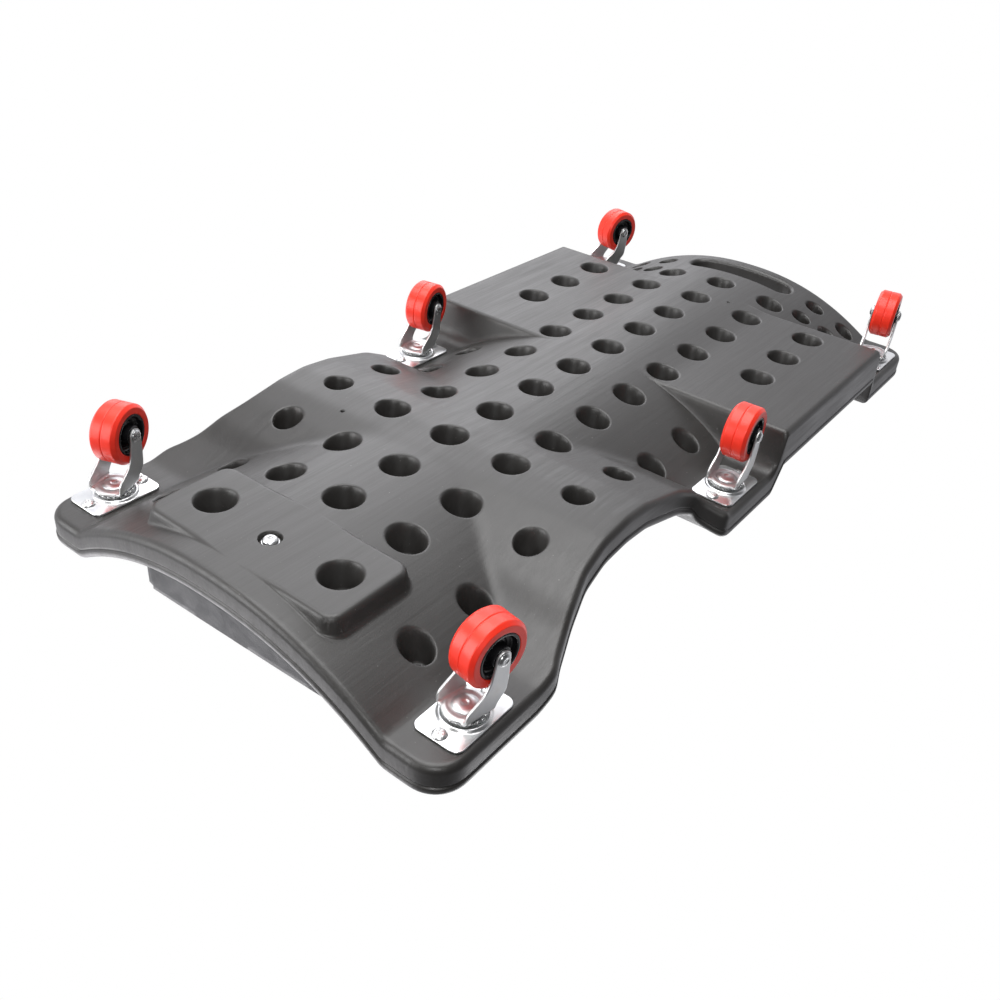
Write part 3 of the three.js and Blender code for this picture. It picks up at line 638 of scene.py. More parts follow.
class Shader:
    """A material being put together from nodes, all in the piece's own space."""

    def __init__(self, name, **inputs):
        self.material = bpy.data.materials.new(name)
        self.material.use_nodes = True
        self.tree = self.material.node_tree
        self.bsdf = self.tree.nodes["Principled BSDF"]
        for key, value in inputs.items():
            self.bsdf.inputs[key.replace("_", " ")].default_value = value
        self.coords = self.tree.nodes.new("ShaderNodeTexCoord").outputs["Object"]

    def node(self, kind, **settings):
        made = self.tree.nodes.new(kind)
        for key, value in settings.items():
            setattr(made, key, value)
        return made

    def link(self, a, b):
        self.tree.links.new(a, b)

    def stretched(self, scale, turn=(0, 0, 0)):
        mapping = self.node("ShaderNodeMapping")
        mapping.inputs["Scale"].default_value = scale
        mapping.inputs["Rotation"].default_value = [math.radians(a) for a in turn]
        self.link(self.coords, mapping.inputs["Vector"])
        return mapping.outputs["Vector"]

    def noise(self, scale, detail=4.0, rough=0.55, vector=None, distortion=0.0):
        made = self.node("ShaderNodeTexNoise")
        made.inputs["Scale"].default_value = scale
        made.inputs["Detail"].default_value = detail
        made.inputs["Roughness"].default_value = rough
        made.inputs["Distortion"].default_value = distortion
        self.link(vector or self.coords, made.inputs["Vector"])
        return made.outputs["Fac"]

    def ramp(self, value, stops):
        made = self.node("ShaderNodeValToRGB")
        bar = made.color_ramp
        while len(bar.elements) < len(stops):
            bar.elements.new(0.5)
        for element, (at, color) in zip(bar.elements, stops):
            element.position = at
            element.color = (*color, 1) if len(color) == 3 else color
        self.link(value, made.inputs["Fac"])
        return made.outputs["Color"]

    def grey(self, value, low, high, start=0.0, end=1.0):
        made = self.node("ShaderNodeMapRange")
        made.inputs["From Min"].default_value = start
        made.inputs["From Max"].default_value = end
        made.inputs["To Min"].default_value = low
        made.inputs["To Max"].default_value = high
        self.link(value, made.inputs["Value"])
        return made.outputs["Result"]

    def math(self, operation, a, b):
        made = self.node("ShaderNodeMath", operation=operation)
        for socket, value in zip(made.inputs, (a, b)):
            if isinstance(value, (int, float)):
                socket.default_value = value
            else:
                self.link(value, socket)
        return made.outputs["Value"]

    def mix(self, fac, a, b):
        made = self.node("ShaderNodeMix", data_type="RGBA")
        self.link(fac, made.inputs["Factor"])
        for socket, value in ((made.inputs["A"], a), (made.inputs["B"], b)):
            if isinstance(value, tuple):
                socket.default_value = (*value, 1)
            else:
                self.link(value, socket)
        return made.outputs["Result"]

    def bump(self, height, strength, distance, before=None):
        made = self.node("ShaderNodeBump")
        made.inputs["Strength"].default_value = strength
        made.inputs["Distance"].default_value = distance
        self.link(height, made.inputs["Height"])
        if before:
            self.link(before, made.inputs["Normal"])
        return made.outputs["Normal"]

    def set(self, socket, value):
        self.link(value, self.bsdf.inputs[socket])


def deck_plastic():
    s = Shader("moulded_polyethylene", IOR=1.54, Specular_IOR_Level=0.56)
    broad = s.noise(5.5, 3.0)
    fine = s.noise(900, 2.0)
    grain = s.noise(2600, 2.0)
    streaks = s.noise(60, 5.0, 0.6, s.stretched((0.06, 1.6, 0.6), (0, 0, 8)))
    drag = s.noise(480, 4.0, 0.6, s.stretched((0.04, 1.0, 0.6), (0, 0, 8)))
    scuffs = s.noise(130, 6.0, 0.7, s.stretched((1.8, 0.12, 1.0), (0, 0, 27)), 0.4)
    dust = s.noise(420, 2.0, 0.5)
    base = s.ramp(broad, [(0.3, (0.021, 0.0195, 0.018)), (0.7, (0.029, 0.0275, 0.026))])
    worn = s.grey(scuffs, 0.0, 1.0, 0.66, 0.76)
    base = s.mix(s.math("MULTIPLY", worn, 0.45), base, (0.1, 0.097, 0.093))
    specks = s.grey(dust, 0.0, 0.5, 0.74, 0.8)
    base = s.mix(specks, base, (0.26, 0.255, 0.24))
    s.set("Base Color", base)
    rough = s.math("ADD", s.grey(broad, 0.35, 0.43, 0.3, 0.7), s.grey(streaks, -0.03, 0.06, 0.3, 0.7))
    rough = s.math("ADD", rough, s.grey(drag, -0.03, 0.04, 0.35, 0.65))
    s.set("Roughness", s.math("ADD", rough, s.math("MULTIPLY", worn, 0.12)))
    bumped = s.bump(grain, 0.06, 0.0003)
    bumped = s.bump(fine, 0.06, 0.0004, bumped)
    bumped = s.bump(drag, 0.16, 0.0004, bumped)
    bumped = s.bump(streaks, 0.3, 0.0012, bumped)
    s.set("Normal", s.bump(broad, 0.25, 0.004, bumped))
    return s.material


def zinc_plate(name, shade=1.0, rough=0.24):
    # shade scales the whole colour; where the fork and rivet copies are made darker than the plate, that
    # darkening is painted shade.
    s = Shader(name, Metallic=1.0)
    cloud = s.noise(60, 3.0)
    fine = s.noise(700, 4.0, 0.6)
    lines = s.noise(700, 3.0, 0.6, s.stretched((0.04, 1.0, 1.0)))
    base = s.ramp(cloud, [
        (0.3, (0.80 * shade, 0.815 * shade, 0.83 * shade)),
        (0.55, (0.86 * shade, 0.865 * shade, 0.865 * shade)),
        (0.75, (0.84 * shade, 0.835 * shade, 0.81 * shade)),
    ])
    marks = s.grey(s.noise(210, 6.0, 0.7), 0.0, 0.22, 0.64, 0.74)
    s.set("Base Color", s.mix(marks, base, (0.55 * shade, 0.55 * shade, 0.54 * shade)))
    s.set("Roughness", s.grey(fine, rough - 0.03, rough + 0.04, 0.3, 0.7))
    s.set("Normal", s.bump(lines, 0.05, 0.0002, s.bump(cloud, 0.05, 0.001)))
    return s.material


def tyre_red():
    s = Shader("red_polyurethane", IOR=1.46, Coat_Weight=0.08, Coat_Roughness=0.2)
    cloud = s.noise(70, 3.0)
    grit = s.noise(500, 5.0, 0.65)
    base = s.ramp(cloud, [(0.3, (0.82, 0.027, 0.012)), (0.7, (0.9, 0.04, 0.018))])
    dirt = s.grey(grit, 0.0, 0.25, 0.64, 0.76)
    s.set("Base Color", s.mix(dirt, base, (0.34, 0.025, 0.018)))
    s.set("Roughness", s.grey(grit, 0.3, 0.42, 0.3, 0.7))
    s.set("Normal", s.bump(grit, 0.07, 0.0003, s.bump(cloud, 0.06, 0.001)))
    return s.material


def hub_black():
    s = Shader("gloss_black_hub", IOR=1.5)
    cloud = s.noise(140, 3.0)
    grit = s.noise(900, 4.0)
    s.set("Base Color", s.ramp(cloud, [(0.3, (0.006, 0.006, 0.007)), (0.7, (0.012, 0.012, 0.013))]))
    s.set("Roughness", s.grey(grit, 0.12, 0.26, 0.3, 0.7))
    s.set("Normal", s.bump(cloud, 0.12, 0.0006))
    return s.material


def vinyl():
    s = Shader("grained_vinyl", IOR=1.5, Sheen_Weight=0.08, Sheen_Roughness=0.5)
    cells = s.node("ShaderNodeTexVoronoi", feature="DISTANCE_TO_EDGE")
    cells.inputs["Scale"].default_value = 620
    s.link(s.coords, cells.inputs["Vector"])
    cloud = s.noise(12, 3.0)
    creases = s.noise(60, 5.0, 0.6, None, 0.6)
    s.set("Base Color", s.ramp(cloud, [(0.3, (0.014, 0.0145, 0.018)), (0.7, (0.021, 0.0215, 0.026))]))
    s.set("Roughness", s.grey(creases, 0.42, 0.56, 0.3, 0.7))
    grain = s.bump(s.grey(cells.outputs["Distance"], 0, 1, 0, 0.3), 0.25, 0.0003)
    s.set("Normal", s.bump(creases, 0.2, 0.0016, grain))
    return s.material


def plywood():
    s = Shader("raw_plywood")
    rings = s.node("ShaderNodeTexWave", wave_type="BANDS", bands_direction="Y")
    rings.inputs["Scale"].default_value = 60
    rings.inputs["Distortion"].default_value = 6
    s.link(s.coords, rings.inputs["Vector"])
    s.set("Base Color", s.ramp(rings.outputs["Fac"], [(0.2, (0.42, 0.28, 0.14)), (0.8, (0.6, 0.44, 0.25))]))
    s.set("Roughness", s.grey(rings.outputs["Fac"], 0.6, 0.8))
    return s.material


PLASTIC = deck_plastic()
ZINC = zinc_plate("bright_zinc", 0.95, 0.3)
# The fork's zinc is the plate's zinc made darker (0.8): painted shade for the shaded crown and legs.
ZINC_FORK_PAINTED_SHADE = zinc_plate("fork_zinc_painted_shade", 0.8, 0.42)
# The rivet, screw and bolt zinc is the plate's zinc a little darker (0.9): painted shade standing in for the
# dark reflection of the shaded tread.
ZINC_PIN = zinc_plate("zinc_rivet", 0.9, 0.36)
STEEL = zinc_plate("plain_steel", 0.72, 0.26)
RED = tyre_red()
BLACK = hub_black()
VINYL = vinyl()
PLYWOOD = plywood()

# Deck
deck = place("deck_shell", make_mesh("deck_shell", *make_deck_mesh()), PLASTIC, "chassis", "deck", "deck")


# Caster pieces, in each caster's own frame


def plate_mesh():
    """Plate with a pressed boss: rings from the kingpin's hole out to the round-cornered edge."""
    sides = 96
    half, wide, corner = 33.2, 21.3, 7.2
    turns = np.arange(sides) * 2 * math.pi / sides

    def edge(inset):
        out = []
        for turn in turns:
            c, s = math.cos(turn), math.sin(turn)
            low, high = 0.0, 50.0
            for _ in range(40):
                mid = (low + high) / 2
                d = box_distance(np.array(mid * c), np.array(mid * s), 0, 0, half, wide, corner)
                if d + inset < 0:
                    low = mid
                else:
                    high = mid
            out.append((low * c, low * s))
        return np.array(out)

    def circle(r):
        return np.stack([r * np.cos(turns), r * np.sin(turns)], 1)

    low = 78.6
    rows = [
        (circle(5.4), 80.5), (circle(5.4), 76.4), (circle(5.8), 76.15), (circle(12.6), 76.15),
        (circle(13.4), 76.35),
        (circle(14.2), 76.9), (circle(15.4), 77.2), (circle(16.6), 76.9), (circle(17.3), 76.35),
        (circle(18.0), 76.15),
        (circle(18.6), 76.25), (circle(19.2), 76.8), (circle(19.7), 77.7), (circle(20.2), 78.3),
        (circle(20.9), 78.58), (edge(0.9), low), (edge(0.3), low + 0.12), (edge(0.0), low + 0.5),
        (edge(0.0), low + 1.6), (edge(0.25), low + 1.9), (edge(0.6), low + 1.98),
    ]
    verts, faces = [], []
    for ring, z in rows:
        verts += [(x, y, z) for x, y in ring]
    for a in range(len(rows)):
        b = (a + 1) % len(rows)
        for i in range(sides):
            j = (i + 1) % sides
            faces.append([a * sides + i, a * sides + j, b * sides + j, b * sides + i])
    return make_mesh("caster_plate", verts, faces, 38)


def screw_mesh():
    """Pan head with a cross recess."""
    rings = [0.0, 0.35, 0.7, 1.1, 1.5, 1.9, 2.3, 2.7, 3.2, 3.9, 4.6, 5.2, 5.6, 5.85, 5.9]
    domes = [2.6, 2.6, 2.6, 2.58, 2.56, 2.53, 2.48, 2.42, 2.32, 2.1, 1.75, 1.3, 0.85, 0.4, 0.0]
    seat = 78.3
    sides = 64
    verts, faces, rows = [], [], []
    for r, dome in zip(rings, domes):
        row = []
        for i in range(sides):
            turn = 2 * math.pi * i / sides
            x, y = r * math.cos(turn), r * math.sin(turn)
            reach = 2.75 - r
            arm = max(0.0, 1 - (min(abs(x), abs(y)) / 0.62) ** 4) if reach > 0 else 0.0
            depth = 1.3 * arm * min(1.0, max(0.0, reach / 0.9))
            row.append(len(verts))
            verts.append((x, y, seat - dome + depth))
        rows.append(row)
    for z, r in ((seat, 2.2), (98.0, 2.1), (98.9, 0.6)):
        rows.append(list(range(len(verts), len(verts) + sides)))
        verts += [
            (r * math.cos(2 * math.pi * i / sides), r * math.sin(2 * math.pi * i / sides), z)
            for i in range(sides)
        ]
    for a, b in zip(rows, rows[1:]):
        faces += [[a[i], a[(i + 1) % sides], b[(i + 1) % sides], b[i]] for i in range(sides)]
    faces.append(rows[-1])
    return make_mesh("pan_screw", verts, faces, 40)


def race_mesh():
    """Balls in a ring, with the cage that spaces them."""
    parts = [turned([(14.7, 74.05), (16.1, 74.05), (16.1, 74.6), (14.7, 74.6)], 72, closed=True)]
    ball = bmesh.new()
    bmesh.ops.create_icosphere(ball, subdivisions=2, radius=1.42)
    verts = [v.co[:] for v in ball.verts]
    faces = [[v.index for v in f.verts] for f in ball.faces]
    ball.free()
    for i in range(20):
        turn = 2 * math.pi * i / 20
        parts.append(moved((verts, faces), 15.4 * math.cos(turn), 15.4 * math.sin(turn), 74.35))
    return make_mesh("ball_race", *merged(*parts), 50)


def kingpin_mesh():
    profile = [
        (0, 69.1), (1.6, 69.05), (2.4, 68.75), (3.0, 68.42), (4.4, 68.36), (6.0, 68.5), (7.6, 68.85),
        (8.9, 69.35),
        (9.7, 69.85), (9.95, 70.15), (9.8, 70.3), (5.0, 70.3), (5.0, 80.3), (4.6, 80.55), (0, 80.55),
    ]
    return make_mesh("kingpin", *turned(profile, 64), 40)


LEG_FRONT = [
    (73.2, -14.0), (66.5, -13.3), (61.9, -12.1), (56.3, -3.7), (52.8, 2.45),
    (44.6, 7.2), (34.2, 9.6), (WHEEL_RADIUS, 10.8),
]
LEG_REAR = [(73.2, 12.95), (68.6, 13.6), (65.0, 15.75), (58.5, 22.75), (45.05, 24.15), (27.3, 24.2)]


def leg_edges(z):
    """Front and rear edge of a leg at a height."""
    if z < WHEEL_RADIUS:
        half = math.sqrt(max(LEG_END**2 - (WHEEL_RADIUS - z) ** 2, 0.0))
        return TRAIL - half, TRAIL + half
    levels = np.arange(20, 76, 0.5)
    front = softened(np.interp(levels, [p[0] for p in LEG_FRONT[::-1]], [p[1] for p in LEG_FRONT[::-1]]), 3)
    rear = softened(np.interp(levels, [p[0] for p in LEG_REAR[::-1]], [p[1] for p in LEG_REAR[::-1]]), 3)
    return float(np.interp(z, levels, front)), float(np.interp(z, levels, rear))


def fork_mesh():
    """One bent sheet: leg, bend, crown, bend, leg, followed along its middle."""
    bend, mid_y, mid_z = 3.0, LEG_MIDDLE, 71.6
    half = []
    for y in np.arange(0, mid_y - bend + 0.01, 0.75):
        disc = math.sqrt(17.4**2 - y**2)
        front, rear = leg_edges(71.6)
        share = min(max((y - 7.5) / 4.5, 0.0), 1.0)
        share = share * share * (3 - 2 * share)
        half.append((y, mid_z, 0.0, 1.0, -disc + share * (disc + front) if disc < -front else -disc,
                     disc + share * (rear - disc) if disc < rear else disc))
    for turn in np.radians(np.linspace(0, 90, 9)[1:]):
        z = mid_z - bend + bend * math.cos(turn)
        front, rear = leg_edges(z)
        half.append((mid_y - bend + bend * math.sin(turn), z, math.sin(turn), math.cos(turn), front, rear))
    for z in np.arange(67.4, WHEEL_RADIUS + 0.3, -1.3):
        half.append((mid_y, z, 1.0, 0.0, *leg_edges(z)))
    for turn in np.radians(np.linspace(0, 88, 12)):
        z = WHEEL_RADIUS - LEG_END * math.sin(turn)
        half.append((mid_y, z, 1.0, 0.0, *leg_edges(z)))
    stations = [(-y, z, -ny, nz, u0, u1) for y, z, ny, nz, u0, u1 in half[:0:-1]] + half
    verts, faces = [], []
    count = 26
    shares = np.linspace(0, 1, count - 4)
    loops = []
    for y, z, ny, nz, u0, u1 in stations:
        span = max(u1 - u0, 0.05)
        soft = min(0.45, span * 0.3)
        us = [u0, u0 + soft * 0.3] + list(u0 + soft + (span - 2 * soft) * shares) + [u1 - soft * 0.3, u1]
        thick = [0.45, 0.8] + [1.0] * (count - 4) + [0.8, 0.45]
        crown = abs(y) < mid_y - bend + 0.02 and nz > 0.99
        rows = []
        for side in (1, -1):
            row = []
            for u, t in zip(us, thick):
                shift = 0.0
                if crown:
                    r = math.hypot(u, y)
                    shift = -0.75 * math.exp(-(((r - 14.3) / 1.35) ** 2))
                row.append(len(verts))
                verts.append((u, y + side * t * ny, z + side * t * nz + shift))
            rows.append(row)
        loops.append(rows[0] + rows[1][::-1])
    for a, b in zip(loops, loops[1:]):
        n = len(a)
        faces += [[a[i], a[(i + 1) % n], b[(i + 1) % n], b[i]] for i in range(n)]
    for end in (loops[0], loops[-1]):
        for i in range(count - 1):
            faces.append([end[i], end[i + 1], end[2 * count - 2 - i], end[2 * count - 1 - i]])
    return make_mesh("fork", verts, faces, 42)


def axle_mesh():
    side = [
        (0, 17.9), (1.3, 17.86), (1.9, 18.05), (2.6, 18.28), (3.6, 18.2), (4.6, 17.75), (5.3, 17.1),
        (5.55, 16.6),
        (5.4, 16.42), (4.0, 16.42),
    ]
    profile = [(r, -h) for r, h in side] + [(r, h) for r, h in side[::-1]]
    return make_mesh("axle_rivet", *turned(profile, 40, "y"), 40)


def hub_mesh():
    side = [
        (4.3, 13.7), (4.6, 13.8), (7.9, 13.8), (8.4, 13.4), (8.5, 8.2), (8.8, 7.3), (9.6, 6.7), (11.0, 6.5),
        (12.0, 6.2), (13.4, 6.5), (14.6, 6.8), (15.4, 7.6), (15.8, 9.0), (16.0, 11.9), (16.4, 12.4),
        (17.4, 12.55),
        (18.1, 12.45), (18.4, 12.1),
    ]
    profile = [(r, h) for r, h in side] + [(r, -h) for r, h in side[::-1]]
    return make_mesh("wheel_hub", *turned(profile, 96, "y", closed=True), 44)


def tread_mesh():
    side = [
        (18.7, 12.2), (18.95, 12.5), (19.4, 12.58), (23.9, 12.58), (24.3, 12.5), (24.65, 12.25),
        (26.85, 10.0),
        (27.15, 9.6), (27.3, 9.1), (27.3, 1.1), (27.22, 0.65), (26.95, 0.35), (26.75, 0.12),
    ]
    profile = [(r, h) for r, h in side] + [(r, -h) for r, h in side[::-1]]
    return make_mesh("wheel_tread", *turned(profile, 128, "y", closed=True), 40)


plate, screw, race, kingpin = plate_mesh(), screw_mesh(), race_mesh(), kingpin_mesh()
fork, axle, hub, tread = fork_mesh(), axle_mesh(), hub_mesh(), tread_mesh()

for name, (x, y, yaw) in CASTERS.items():
    spot = (x, y, 0)
    turn = math.radians(yaw)
    axle_at = (x + TRAIL * math.cos(turn), y + TRAIL * math.sin(turn), WHEEL_RADIUS)
    swivel = name + "_swivel"
    wheel = name + "_wheel"
    place(name + "_top_plate", plate, ZINC, "chassis", "zinc", name + "_plate", spot)
    place(name + "_balls", race, STEEL, "chassis", "steel", name + "_race", spot)
    place(name + "_kingpin_rivet", kingpin, ZINC_PIN, "chassis", "zinc", name + "_kingpin", spot)
    for end, sign in (("near", -1), ("far", 1)):
        place(
            name + "_pan_screw_" + end, screw, ZINC_PIN, "chassis", "zinc", name + "_screw_" + end,
            (x + sign * 27, y, 0), 20 + 31 * sign,
        )
    place(name + "_bent_fork", fork, ZINC_FORK_PAINTED_SHADE, swivel, "zinc", name + "_fork", spot, yaw)
    place(name + "_axle_rivet", axle, STEEL, swivel, "steel", name + "_axle", axle_at, yaw)
    place(name + "_wheel_hub", hub, BLACK, wheel, "hub", name + "_hub", axle_at, yaw)
    place(name + "_wheel_tread", tread, RED, wheel, "tread", name + "_tread", axle_at, yaw)


# Headrest


def over(x, y):
    return float(RAIL_LEVEL - base_drop(np.array(float(x)), np.array(float(y))))


PAD_LOW_X, PAD_HIGH_X = -439.7, -328.4
PAD_SKEW = 5.5 / 202
PAD_SIDES = (-102.0, 100.0)


def pad_ends(y):
    """The pad's near and far face at a place across it: the pad sits a little turned on its one bolt."""
    skew = PAD_SKEW * (y - PAD_SIDES[0])
    return PAD_LOW_X + skew, PAD_HIGH_X - PAD_SKEW * (PAD_SIDES[1] - y)


def pad_form(shrink):
    """Verts and faces of the pad: a loft across Y, its foot on the trough."""
    rows = []
    stations = 41
    depth = np.linspace(0, 1, 23)
    middle = (PAD_SIDES[0] + PAD_SIDES[1]) / 2
    half_w = (PAD_SIDES[1] - PAD_SIDES[0]) / 2 - shrink
    for i in range(stations):
        across = math.sin(((i / (stations - 1)) * 2 - 1) * math.pi / 2)
        y = middle + across * half_w
        x0, x1 = pad_ends(y)
        x0, x1 = x0 + shrink, x1 - shrink
        ring = []
        for t in depth:
            x = x0 + (x1 - x0) * t
            ring.append((x, y, over(x, y) + 0.9))
        for t in depth[::-1]:
            x = x0 + (x1 - x0) * t
            crown = 3.5 * (1 - across**2) * (1 - (2 * t - 1) ** 2)
            ring.append((x, y, RAIL_LEVEL - shrink + crown))
        rows.append(ring)
    count = len(rows[0])
    verts = [p for ring in rows for p in ring]
    faces = []
    for r in range(stations - 1):
        for i in range(count):
            j = (i + 1) % count
            faces.append([r * count + i, r * count + j, (r + 1) * count + j, (r + 1) * count + i])
    faces.append(list(range(count)))
    faces.append([(stations - 1) * count + i for i in range(count)])
    return verts, faces


def hold_in_place(mesh, start, cap, snap=0.0):
    """Keeps each point near where it was and inside the pad's space; snap flattens its faces."""
    for vert, was in zip(mesh.vertices, start):
        move = vert.co - was
        if move.length > cap:
            vert.co = was + move * (cap / move.length)
        x, y, z = (c / MM for c in vert.co)
        y = min(max(y, PAD_SIDES[0]), PAD_SIDES[1])
        x0, x1 = pad_ends(y)
        x = min(max(x, x0), x1)
        share = (x - x0) / (x1 - x0)
        across = (2 * y - PAD_SIDES[0] - PAD_SIDES[1]) / (PAD_SIDES[1] - PAD_SIDES[0])
        roof = RAIL_LEVEL + 4.5 * max(0.0, 1 - across**2) * max(0.0, 1 - (2 * share - 1) ** 2)
        x = x0 if x - x0 < snap else x1 if x1 - x < snap else x
        y = PAD_SIDES[0] if y - PAD_SIDES[0] < snap else PAD_SIDES[1] if PAD_SIDES[1] - y < snap else y
        z = roof if roof - z < snap else max(z, over(x, y) + 0.35)
        vert.co = Vector((x, y, z)) * MM


def make_cushion():
    mesh = make_mesh("headrest_cushion", *pad_form(0.5))
    pad = bpy.data.objects.new("headrest_cushion", mesh)
    bpy.context.scene.collection.objects.link(pad)
    bpy.context.view_layer.objects.active = pad
    remesh = pad.modifiers.new("remesh", "REMESH")
    remesh.mode = "VOXEL"
    remesh.voxel_size = 0.004
    bake_modifiers(pad)
    start = [v.co.copy() for v in pad.data.vertices]
    cloth = pad.modifiers.new("cloth", "CLOTH")
    cloth.settings.effector_weights.gravity = 0
    cloth.settings.use_pressure = True
    cloth.settings.uniform_pressure_force = 4
    cloth.settings.quality = 6
    cloth.settings.mass = 0.3
    cloth.point_cache.frame_start = 1
    cloth.point_cache.frame_end = 20
    scene = bpy.context.scene
    for step in range(1, 21):
        scene.frame_set(step)
    bake_modifiers(pad)
    scene.frame_set(1)
    hold_in_place(pad.data, start, 0.0015)
    subdivide = pad.modifiers.new("subdivide", "SUBSURF")
    subdivide.levels = 1
    subdivide.render_levels = 1
    bake_modifiers(pad)
    start = [v.co.copy() for v in pad.data.vertices]
    hold_in_place(pad.data, start, 1.0, 3.4)
    pad.data.shade_smooth()
    return pad


def bake_modifiers(thing):
    """The evaluated mesh takes the place of the mesh and its modifiers."""
    deps = bpy.context.evaluated_depsgraph_get()
    baked = bpy.data.meshes.new_from_object(thing.evaluated_get(deps))
    thing.modifiers.clear()
    thing.data = baked


cushion = make_cushion()
cushion.data.materials.clear()
cushion.data.materials.append(VINYL)
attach(cushion, "chassis")
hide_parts("headrest_pad")


def bolt_mesh():
    """Button head with a six-sided socket, on its shaft."""
    seat = ARCH_FOOT + 5 - 0.6 - 1.5
    head = [
        (0, 1.5), (2.0, 1.5), (2.3, 1.7), (2.35, 3.25), (2.7, 3.4), (4.0, 3.2), (5.2, 2.5),
        (6.0, 1.5), (6.4, 0.5),
        (6.35, 0.0),
    ]
    profile = [(r, seat - h) for r, h in head] + [(4.0, seat), (4.0, 74.6), (3.4, 75.2), (0, 75.2)]
    verts, faces = turned(profile, 60)
    shaped = []
    for x, y, z in verts:
        r = math.hypot(x, y)
        if 1.9 < r < 2.5 and z < seat:
            turn = math.atan2(y, x) % (math.pi / 3) - math.pi / 6
            scale = 2.25 / (r * math.cos(turn)) * (r / 2.35)
            x, y = x * scale, y * scale
        shaped.append((x, y, z))
    return make_mesh("button_bolt", shaped, faces, 35)


place("headrest_button_bolt", bolt_mesh(), ZINC_PIN, "chassis", "zinc", "headrest_bolt", (BOLT_X, 0, 0))
washer_high = ARCH_FOOT + 5 - 0.3
washer = turned(
    [
        (4.3, washer_high - 1.5), (7.0, washer_high - 1.5), (7.3, washer_high - 1.2),
        (7.3, washer_high - 0.2),
        (7.1, washer_high), (4.3, washer_high),
    ],
    56,
    closed=True,
)
place(
    "headrest_flat_washer", make_mesh("flat_washer", *washer, 35), ZINC, "chassis", "zinc",
    "headrest_washer", (BOLT_X, 0, 0),
)
for node, finish in (("headrest_board", PLYWOOD), ("headrest_tnut", ZINC)):
    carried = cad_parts[node]
    carried.data.materials.clear()
    carried.data.materials.append(finish)


# Stage, light and camera


def make_floor():
    size = 6.0
    mesh = bpy.data.meshes.new("studio_floor")
    corners = [(-size, -size, 0), (size, -size, 0), (size, size, 0), (-size, size, 0)]
    mesh.from_pydata(corners, [], [(0, 1, 2, 3)])
    floor = bpy.data.objects.new("studio_floor", mesh)
    bpy.context.scene.collection.objects.link(floor)
    floor.location.z = -0.0004
    material = bpy.data.materials.new("studio_floor")
    material.use_nodes = True
    nodes, links = material.node_tree.nodes, material.node_tree.links
    nodes.clear()
    out = nodes.new("ShaderNodeOutputMaterial")
    mix = nodes.new("ShaderNodeMixShader")
    clear = nodes.new("ShaderNodeBsdfTransparent")
    pale = nodes.new("ShaderNodeBsdfDiffuse")
    pale.inputs["Color"].default_value = (0.9, 0.9, 0.9, 1)
    path = nodes.new("ShaderNodeLightPath")
    side = nodes.new("ShaderNodeNewGeometry")
    front = nodes.new("ShaderNodeMath")
    front.operation = "SUBTRACT"
    front.inputs[0].default_value = 1
    links.new(side.outputs["Backfacing"], front.inputs[1])
    shown = nodes.new("ShaderNodeMath")
    shown.operation = "MULTIPLY"
    links.new(path.outputs["Is Camera Ray"], shown.inputs[0])
    links.new(front.outputs[0], shown.inputs[1])
    links.new(shown.outputs[0], mix.inputs[0])
    links.new(clear.outputs[0], mix.inputs[1])
    links.new(pale.outputs[0], mix.inputs[2])
    links.new(mix.outputs[0], out.inputs["Surface"])
    mesh.materials.append(material)


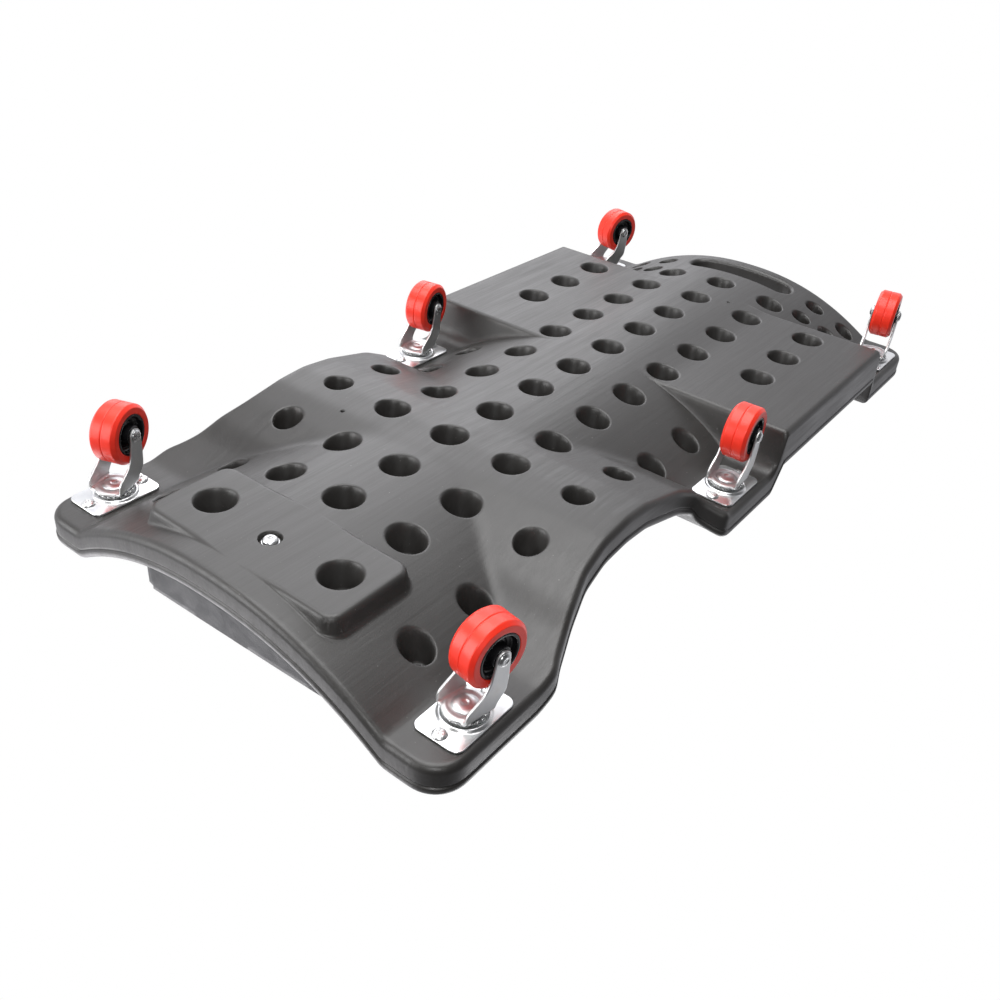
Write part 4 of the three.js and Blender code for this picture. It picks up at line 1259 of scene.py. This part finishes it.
def make_world():
    world = bpy.data.worlds.new("studio")
    bpy.context.scene.world = world
    world.use_nodes = True
    nodes, links = world.node_tree.nodes, world.node_tree.links
    nodes.clear()
    out = nodes.new("ShaderNodeOutputWorld")
    mix = nodes.new("ShaderNodeMixShader")
    white = nodes.new("ShaderNodeBackground")
    white.inputs["Color"].default_value = (1, 1, 1, 1)
    soft = nodes.new("ShaderNodeBackground")
    soft.inputs["Color"].default_value = (0.96, 0.96, 1.0, 1)
    coords = nodes.new("ShaderNodeTexCoord")
    toward = nodes.new("ShaderNodeVectorMath")
    toward.operation = "DOT_PRODUCT"
    toward.inputs[1].default_value = Vector((0.55, -0.75, 0.36)).normalized()
    links.new(coords.outputs["Generated"], toward.inputs[0])
    spread = nodes.new("ShaderNodeMapRange")
    spread.interpolation_type = "SMOOTHSTEP"
    spread.inputs["From Min"].default_value = -0.55
    spread.inputs["From Max"].default_value = 0.65
    spread.inputs["To Min"].default_value = 0.1
    spread.inputs["To Max"].default_value = 1.0
    links.new(toward.outputs["Value"], spread.inputs["Value"])
    links.new(spread.outputs["Result"], soft.inputs["Strength"])
    path = nodes.new("ShaderNodeLightPath")
    links.new(path.outputs["Is Camera Ray"], mix.inputs[0])
    links.new(soft.outputs[0], mix.inputs[1])
    links.new(white.outputs[0], mix.inputs[2])
    links.new(mix.outputs[0], out.inputs["Surface"])


def add_area(name, at, aim, size, power, color=(1, 1, 1)):
    lamp = bpy.data.lights.new(name, "AREA")
    lamp.shape = "RECTANGLE"
    lamp.size, lamp.size_y = size
    lamp.energy = power
    lamp.color = color
    thing = bpy.data.objects.new(name, lamp)
    bpy.context.scene.collection.objects.link(thing)
    thing.location = at
    thing.rotation_euler = (Vector(aim) - Vector(at)).to_track_quat("-Z", "Y").to_euler()
    thing.visible_camera = False


make_floor()
make_world()
add_area("softbox_below", (-0.25, -0.2, -1.9), (0, 0, 0.07), (2.0, 1.8), 53)
add_area("back_below", (1.25, -1.35, -1.1), (0.1, 0, 0.07), (1.7, 1.5), 17, (0.97, 0.97, 1.0))
add_area("side_below", (-1.9, -1.1, -0.5), (0, 0, 0.07), (1.4, 1.4), 30)
add_area("front_below", (-1.5, 0.95, -0.9), (0, 0, 0.05), (0.5, 0.5), 9)
add_area("key_above", (-0.9, -1.3, 1.9), (0, 0, 0.08), (1.4, 1.4), 17, (1.0, 0.98, 1.0))
add_area("fill_above", (0.7, 0.2, 2.3), (0, 0, 0.08), (1.6, 1.6), 20)

camera_data = bpy.data.cameras.new("photo_camera")
camera_data.sensor_width = 36
camera_data.lens = 36.0755
camera_data.clip_start = 0.01
camera = bpy.data.objects.new("photo_camera", camera_data)
bpy.context.scene.collection.objects.link(camera)
right = Vector((0.606056, 0.791739, -0.076459))
down = Vector((-0.406606, 0.390986, 0.825713))
ahead = Vector((0.683643, -0.46934, 0.558885))
facing = Matrix((right, -down, -ahead)).transposed()
camera.matrix_world = Matrix.Translation((-0.801022, 0.486702, -0.434186)) @ facing.to_4x4()
bpy.context.scene.camera = camera
bpy.context.scene.view_settings.view_transform = "Standard"
